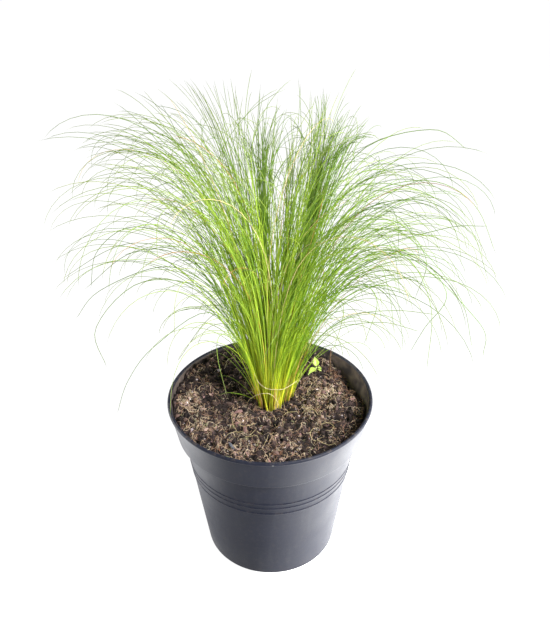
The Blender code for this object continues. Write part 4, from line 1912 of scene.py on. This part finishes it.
    def fill_lock(
        self, strands: StrandMesh, lock: Stance, index: int, dice: np.random.Generator
    ) -> None:
        """Add the loose spray of blades of an ordinary lock.

        Args:
            strands: the mesh being gathered.
            lock: the lock's stance.
            index: its number from the crown's middle outwards.
            dice: the seeded random source.
        """
        ring = math.sqrt((index + 0.5) / self.locks)
        left = lock.foot[0] < CROWN[0]
        share = max(0.23, 0.68 - 0.72 * ring) * (1.06 if left else 0.92 + 0.08 * ring)
        for _ in range(int(round(self.fullness * share))):
            blade = self.blade(lock, dice, 2.0)
            tone = clamped(dice.normal(0.52, 0.26))
            growth = Growth.STRAW if dice.random() < 0.02 else Growth.GREEN
            self.grow(strands, blade, dice, tone, growth)

    def fill_sheaf(
        self, strands: StrandMesh, lock: Stance, sheaf: Sheaf, dice: np.random.Generator
    ) -> None:
        """Add the close-standing blades of an upright sheaf.

        Args:
            strands: the mesh being gathered.
            lock: the sheaf's stance.
            sheaf: its make-up.
            dice: the seeded random source.
        """
        for _ in range(sheaf.blades):
            loose = self.blade(lock, dice, sheaf.spread)
            hooked = dice.random() < 0.45
            blade = replace(
                loose,
                lean_side=lock.lean_side + dice.normal(0, 0.24 * sheaf.spread),
                lean_back=lock.lean_back + dice.normal(0, 0.9),
                length=lock.length * clamped(dice.normal(0.97, 0.05), 0.8, 1.06),
                droop=dice.uniform(40, 110) if hooked else 0.2 * loose.droop,
                hook=loose.hook + 4.0,
            )
            tone = clamped(dice.normal(sheaf.tone, 0.12))
            self.grow(strands, blade, dice, tone, taper=5.0)

    def dress(self, strands: StrandMesh, name: str, *nodes: str) -> None:
        """Finish one mesh of blades.

        Args:
            strands: the mesh gathered.
            name: its name.
            *nodes: the CAD nodes that it replaces.
        """
        coats = [self.looks[LeafGreen], self.looks[LeafStraw]]
        settle(strands.build(name, coats), "grass", *nodes)

    def build_locks(self) -> None:
        """Make every lock's spray of blades in place of its solid."""
        shape_dice = Random(self.lock_seed)
        dice = np.random.default_rng(self.blade_seed)
        for index in range(self.locks):
            lock = self.lock(index, shape_dice)
            strands = StrandMesh()
            if index in self.sheaves:
                self.fill_sheaf(strands, lock, self.sheaves[index], dice)
            else:
                self.fill_lock(strands, lock, index, dice)
            number = f"{index + 1:02d}"
            self.dress(strands, f"grass_tuft_blades_{number}", f"grass_tuft_{number}")

    def build_crown(self) -> None:
        """Pack the crown with short sheaths, dead stubs and orange-red leaf bases."""
        dice = np.random.default_rng(self.blade_seed + 2)
        strands = StrandMesh(4)
        for _ in range(self.stubs):
            ring = math.sqrt(dice.uniform(0.15, 1.0))
            angle = dice.uniform(0, FULL_TURN)
            x, y = ring * math.cos(angle), ring * math.sin(angle)
            width = (self.half_width + 1.0) * (1 + self.narrowing * min(0.0, y))
            stub = Stance(
                foot=(CROWN[0] + width * x + self.skew * y, CROWN[1] + (self.half_depth + 1.0) * y),
                lean_side=13.0 * x + dice.normal(0, 3.0),
                lean_back=(6.5 if y > 0 else 3.0) * y + dice.normal(0, 3.0),
                direction=math.atan2(y, x) + dice.normal(0, 0.4),
                arch=abs(dice.normal(0, 14)),
                late=1.5,
                length=float(dice.uniform(9, 46)),
            )
            dead = dice.random() < (0.5 if x < -0.2 else 0.3)
            growth = Growth.STRAW if dead else Growth.GREEN
            tone = dice.uniform(0.2, 0.9) if dead else dice.uniform(0.5, 1.0)
            line = stub.line(self.foot_level, 8)
            half = dice.uniform(0.4, 0.8) * MM * (1.0 - 0.8 * np.linspace(0.0, 1.0, 7) ** 2)
            strands.add(line, half, 0.6, stub.across(), tone, growth, 0.12)
        self.dress(strands, "grass_crown_stubs")

    def build_reaches(self) -> None:
        """Add the long blades that stand out past the locks."""
        dice = np.random.default_rng(self.blade_seed + 4)
        strands = StrandMesh()
        for reach in self.reaches:
            for _ in range(reach.count):
                self.grow(strands, reach.blade(dice), dice, dice.uniform(0.15, 0.6), taper=3.5)
        self.dress(strands, "grass_long_blades")

    def build_strays(self) -> None:
        """Lay the strays: low and far-reaching single blades, straw loops and dry bits."""
        dice = np.random.default_rng(self.blade_seed + 3)
        strands = StrandMesh()
        for route in LOW_BLADES:
            share = np.linspace(0.0, 1.0, 19)
            half = dice.uniform(0.30, 0.42) * MM * (1.0 - share**2) ** 0.8 + 0.07 * MM
            sideways = np.array([0.3, 1.0, 0.2])
            strands.add(smooth_line(route, 20), half, 0.6, sideways, dice.uniform(0.35, 0.8))
        for route in ARCS:
            share = np.linspace(0.0, 1.0, 29)
            half = (dice.uniform(0.10, 0.20) * (1.0 - share**2.6) ** 0.8 + 0.25) * MM
            sideways = np.array([0.0, 1.0, 0.0])
            strands.add(smooth_line(route, 30), half, 0.9, sideways, dice.uniform(0.0, 0.25))
        for route in STRAW_LOOPS:
            half = np.full(25, 0.27 * MM)
            sideways = np.array([0.0, 0.3, 1.0])
            strands.add(smooth_line(route, 26), half, 1.0, sideways, 0.95, Growth.STRAW)
        for _ in range(22):
            x, y = dice.normal(-2.0, 34.0), dice.normal(-8.0, 30.0)
            on_crown = math.hypot((x - CROWN[0]) / 17, (y - CROWN[1]) / 22) < 1.0
            if math.hypot(x, y) > 74.0 or on_crown:
                continue
            source = Random(int(dice.integers(1, 9999)))
            length = float(dice.uniform(14, 34))
            line = self.soil.rootlet(source, (x, y), length, 2.4, source.uniform(0, 6.28))
            half = 0.22 * MM * np.linspace(1.0, 0.5, len(line) - 1)
            strands.add(line, half, 1.0, UP, 0.9, Growth.STRAW)
        self.dress(strands, "grass_strays")

    def build(self) -> None:
        """Make and dress the clump."""
        self.build_locks()
        self.build_crown()
        self.build_reaches()
        self.build_strays()


def grown_stem(
    name: str, points: Sequence[Point], radii: Sequence[float], sides: int = 10
) -> bpy.types.Mesh:
    """Grow a round stem by carrying a disc along a line.

    Args:
        name: the mesh's name.
        points: the line, in metres.
        radii: its radius at each point.
        sides: corners in its ring.

    Returns:
        The mesh, closed at both ends.
    """
    stem = bmesh.new()
    bmesh.ops.create_circle(stem, cap_ends=True, segments=sides, radius=radii[0])
    bmesh.ops.translate(stem, verts=stem.verts, vec=points[0])
    top = stem.faces[:]
    for start, end, old, new in zip(points, points[1:], radii, radii[1:]):
        made = bmesh.ops.extrude_face_region(stem, geom=top, use_keep_orig=start == points[0])
        ring = [item for item in made["geom"] if isinstance(item, bmesh.types.BMVert)]
        top = [item for item in made["geom"] if isinstance(item, bmesh.types.BMFace)]
        here = Matrix.Translation(-Vector(start))
        bmesh.ops.scale(stem, vec=(new / old,) * 3, space=here, verts=ring)
        bmesh.ops.translate(stem, verts=ring, vec=Vector(end) - Vector(start))
    bmesh.ops.recalc_face_normals(stem, faces=stem.faces)
    mesh = baked(name, stem)
    low, high = points[0][2], points[-1][2]
    heights = np.array([corner.co.z for corner in mesh.vertices])
    share = np.clip((heights - low) / (high - low), 0.0, 1.0)
    paint_growth(mesh, np.column_stack([share, np.full(len(share), 0.5)]))
    return mesh


@dataclass(frozen=True)
class LeafShape:
    """One leaf of the seedling.

    Attributes:
        azimuth: the way it points, in degrees.
        rise: how steeply it rises, in degrees.
        length: its length, in millimetres.
        width: its width.
        shift: its foot, from the stem's head.
    """

    azimuth: float
    rise: float
    length: float
    width: float
    shift: Point


@dataclass
class Seedling:
    """The small weed to the right of the crown: a short stem with four pointed leaves.

    Attributes:
        looks: the materials.
        foot: where it stands, in millimetres.
        leaves: its leaves, in the order of their solids.
        thickness: thickness of a leaf, in millimetres.
    """

    looks: Looks
    foot: tuple[float, float] = (45.2, 46.6)
    leaves: tuple[LeafShape, ...] = (
        LeafShape(105, 50, 9.2, 6.0, (0.0, 1.1, 0.9)),
        LeafShape(223, -14, 10.6, 5.4, (-1.0, -0.9, -0.2)),
        LeafShape(-40, 6, 4.9, 2.6, (1.2, -0.6, 0.4)),
        LeafShape(-22, -10, 4.6, 2.2, (1.0, -0.6, -2.0)),
    )
    thickness: float = 0.42

    def leaf(self, name: str, shape: LeafShape, head: Vector) -> bpy.types.Mesh:
        """Form one leaf out of a flat grid.

        Args:
            name: the mesh's name.
            shape: its sizes and stance.
            head: the stem's head.

        Returns:
            The mesh.
        """
        turn, lift = math.radians(shape.azimuth), math.radians(shape.rise)
        along = Vector(
            (math.cos(turn) * math.cos(lift), math.sin(turn) * math.cos(lift), math.sin(lift))
        )
        across = Vector((-math.sin(turn), math.cos(turn), 0.0))
        up = along.cross(across)
        foot = head + Vector(shape.shift) * MM
        sheet = bmesh.new()
        bmesh.ops.create_grid(sheet, x_segments=16, y_segments=8, size=0.5)
        bmesh.ops.recalc_face_normals(sheet, faces=sheet.faces)
        flat = [(corner.co.x + 0.5, corner.co.y * 2.0) for corner in sheet.verts]
        for corner, (share, side) in zip(sheet.verts, flat):
            half = 0.13 + 1.02 * math.sin(math.pi * min(1.0, share**0.8) ** 0.9) ** 0.9
            half *= 1.0 - 0.35 * share
            half = max(0.05, half) * (1.0 - share**9)
            arch = 0.30 * share * (1 - share) - 0.10 * share * share
            fold = 0.15 * half * abs(side)
            ripple = 0.035 * math.sin(9.0 * share + 1.3 * side) * abs(side)
            spot = foot + along * (shape.length * share * MM)
            spot += across * (side * half * shape.width / 2 * MM)
            spot += up * ((shape.length * (arch + ripple) + fold * shape.width) * MM)
            corner.co = spot
        bmesh.ops.solidify(sheet, geom=sheet.faces, thickness=self.thickness * MM)
        bmesh.ops.remove_doubles(sheet, verts=sheet.verts, dist=0.004 * MM)
        bmesh.ops.recalc_face_normals(sheet, faces=sheet.faces)
        mesh = baked(name, sheet)
        reach = np.array([[*corner.co] for corner in mesh.vertices]) - np.array(foot)
        share = np.clip(reach @ np.array(along) / (shape.length * MM), 0.0, 1.0)
        side = reach @ np.array(across) / (shape.width * MM) + 0.5
        paint_growth(mesh, np.column_stack([share, np.clip(side, 0.0, 1.0)]))
        return mesh

    def build(self) -> None:
        """Make and dress the seedling."""
        skin = [self.looks[SeedlingSkin]]
        low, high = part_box("seedling_stem")
        x, y = self.foot[0] * MM, self.foot[1] * MM
        head = Vector((x + 0.7 * MM, y + 0.7 * MM, high.z - 0.1 * MM))
        points = [
            (x, y, low.z - 1.0 * MM),
            (x - 0.05 * MM, y, low.z + 0.6 * MM),
            (x + 0.1 * MM, y, low.z + 1.6 * MM),
            (x + 0.4 * MM, y + 0.35 * MM, low.z + 3.4 * MM),
            (head.x, head.y, high.z),
        ]
        radii = [size * MM for size in (0.7, 0.6, 0.52, 0.5, 0.66)]
        stem = grown_stem("seedling_stem_grown", points, radii)
        settle(show("seedling_stem_grown", stem, skin), "seedling", "seedling_stem")
        for number, shape in enumerate(self.leaves, start=1):
            name = f"seedling_leaf_grown_{number}"
            piece = show(name, self.leaf(name, shape, head), skin)
            settle(piece, "seedling", f"seedling_leaf_{number}")


@dataclass
class Stalk:
    """The dry stalk behind the seedling, with two swollen joints.

    Attributes:
        looks: the materials.
        foot: where it stands, in millimetres.
        radius: its radius low down, in millimetres.
        shape: share of its height, shift to the right and to the back in millimetres, and
            share of its radius, from the foot to the tip.
    """

    looks: Looks
    foot: tuple[float, float] = (59.8, 49.7)
    radius: float = 0.7
    shape: tuple[tuple[float, float, float, float], ...] = (
        (-0.05, 0.0, 0.0, 1.25), (0.05, 0.0, 0.0, 1.05), (0.20, -0.1, 0.1, 0.95),
        (0.33, -0.2, 0.2, 0.95), (0.36, -0.2, 0.2, 1.3), (0.39, -0.2, 0.25, 0.95),
        (0.55, -0.3, 0.4, 0.85), (0.68, -0.1, 0.6, 0.82), (0.70, -0.1, 0.6, 1.15),
        (0.73, 0.0, 0.6, 0.8), (0.88, 0.2, 0.8, 0.7), (0.97, 0.35, 0.88, 0.62),
        (1.0, 0.4, 0.9, 0.3),
    )

    def build(self) -> None:
        """Make and dress the stalk."""
        low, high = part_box("dead_stalk")
        tall = high.z - low.z
        x, y = self.foot[0] * MM, self.foot[1] * MM
        points = [
            (x + right * MM, y + back * MM, low.z + share * tall)
            for share, right, back, _ in self.shape
        ]
        radii = [self.radius * size * MM for *_, size in self.shape]
        mesh = grown_stem("dead_stalk_grown", points, radii)
        settle(show("dead_stalk_grown", mesh, [self.looks[StalkBark]]), "dry_stalk", "dead_stalk")


@dataclass(frozen=True)
class Softbox:
    """One soft studio light.

    Attributes:
        name: its name.
        place: where it hangs.
        aim: what it points at.
        size: its width and height.
        power: its strength in watts.
        colour: its colour.
    """

    name: str
    place: Point
    aim: Point
    size: tuple[float, float]
    power: float
    colour: Colour = (1.0, 1.0, 1.0)

    def hang(self) -> None:
        """Put the light in the scene."""
        lamp = bpy.data.lights.new(self.name, "AREA")
        lamp.shape = "RECTANGLE"
        lamp.size, lamp.size_y = self.size
        lamp.energy = self.power
        lamp.color = self.colour
        holder = bpy.data.objects.new(self.name, lamp)
        holder.location = self.place
        away = Vector(self.place) - Vector(self.aim)
        holder.rotation_euler = away.to_track_quat("Z", "Y").to_euler()
        bpy.context.scene.collection.objects.link(holder)


@dataclass
class Studio:
    """White sweep, soft lights and the camera.

    Attributes:
        looks: the materials.
        eye: the camera's place.
        pitch: how far it looks down, in degrees.
        yaw: how far it looks to the right.
        roll: how far it is rolled.
        lens: focal length in millimetres on a 36 mm sensor.
        sky: strength of the white surroundings.
        lights: the soft lights.
    """

    looks: Looks
    eye: Point = (0.0, -0.5655, 0.6018)
    pitch: float = 31.25
    yaw: float = 0.51
    roll: float = -0.32
    lens: float = 43.915
    sky: float = 0.42
    lights: tuple[Softbox, ...] = (
        Softbox("key", (0.85, -0.70, 1.05), (0.0, 0.0, 0.2), (0.42, 0.42), 43.0, (1.0, 0.985, 0.96)),
        Softbox("right_wall", (1.0, 0.0, 0.26), (0.0, 0.0, 0.08), (0.7, 0.8), 23.0),
        Softbox("left_wall", (-1.2, 0.45, 0.35), (0.0, 0.0, 0.1), (0.7, 1.1), 24.0),
    )

    def set_camera(self) -> None:
        """Put the camera where the photograph was taken from."""
        pitch, yaw, roll = (math.radians(value) for value in (self.pitch, self.yaw, self.roll))
        forward = Vector(
            (math.sin(yaw) * math.cos(pitch), math.cos(yaw) * math.cos(pitch), -math.sin(pitch))
        )
        right = forward.cross(Vector((0, 0, 1))).normalized()
        up = right.cross(forward)
        tilted_right = right * math.cos(roll) + up * math.sin(roll)
        tilted_up = up * math.cos(roll) - right * math.sin(roll)
        turn = Matrix((tilted_right, tilted_up, -forward)).transposed()
        optics = bpy.data.cameras.new("studio_camera")
        optics.lens = self.lens
        optics.sensor_width = 36.0
        optics.clip_start = 0.01
        optics.clip_end = 200.0
        camera = bpy.data.objects.new("studio_camera", optics)
        camera.matrix_world = Matrix.Translation(self.eye) @ turn.to_4x4()
        bpy.context.scene.collection.objects.link(camera)
        bpy.context.scene.camera = camera

    def build(self) -> None:
        """Set up the floor, the lights and the camera."""
        sheet = bmesh.new()
        bmesh.ops.create_grid(sheet, x_segments=8, y_segments=8, size=40.0)
        bmesh.ops.translate(sheet, verts=sheet.verts, vec=(0, 0, -0.2 * MM))
        show("floor", baked("floor", sheet), [self.looks[SweepWhite]], smooth=False)
        world = bpy.data.worlds.new("white_room")
        world.use_nodes = True
        ground = world.node_tree.nodes["Background"]
        ground.inputs["Color"].default_value = (1.0, 1.0, 1.0, 1.0)
        ground.inputs["Strength"].default_value = self.sky
        bpy.context.scene.world = world
        bpy.context.scene.view_settings.view_transform = "Standard"
        for light in self.lights:
            light.hang()
        self.set_camera()


def main() -> None:
    """Build the object piece by piece and set the studio round it."""
    logging.basicConfig(level=logging.INFO, format="%(message)s")
    looks = mixed_looks()
    soil = Soil(looks)
    parts = (Pot(looks), soil, Grass(looks, soil), Seedling(looks), Stalk(looks), Studio(looks))
    for part in parts:
        part.build()
        LOG.info("%s done", type(part).__name__)


if __name__ == "__main__":
    main()
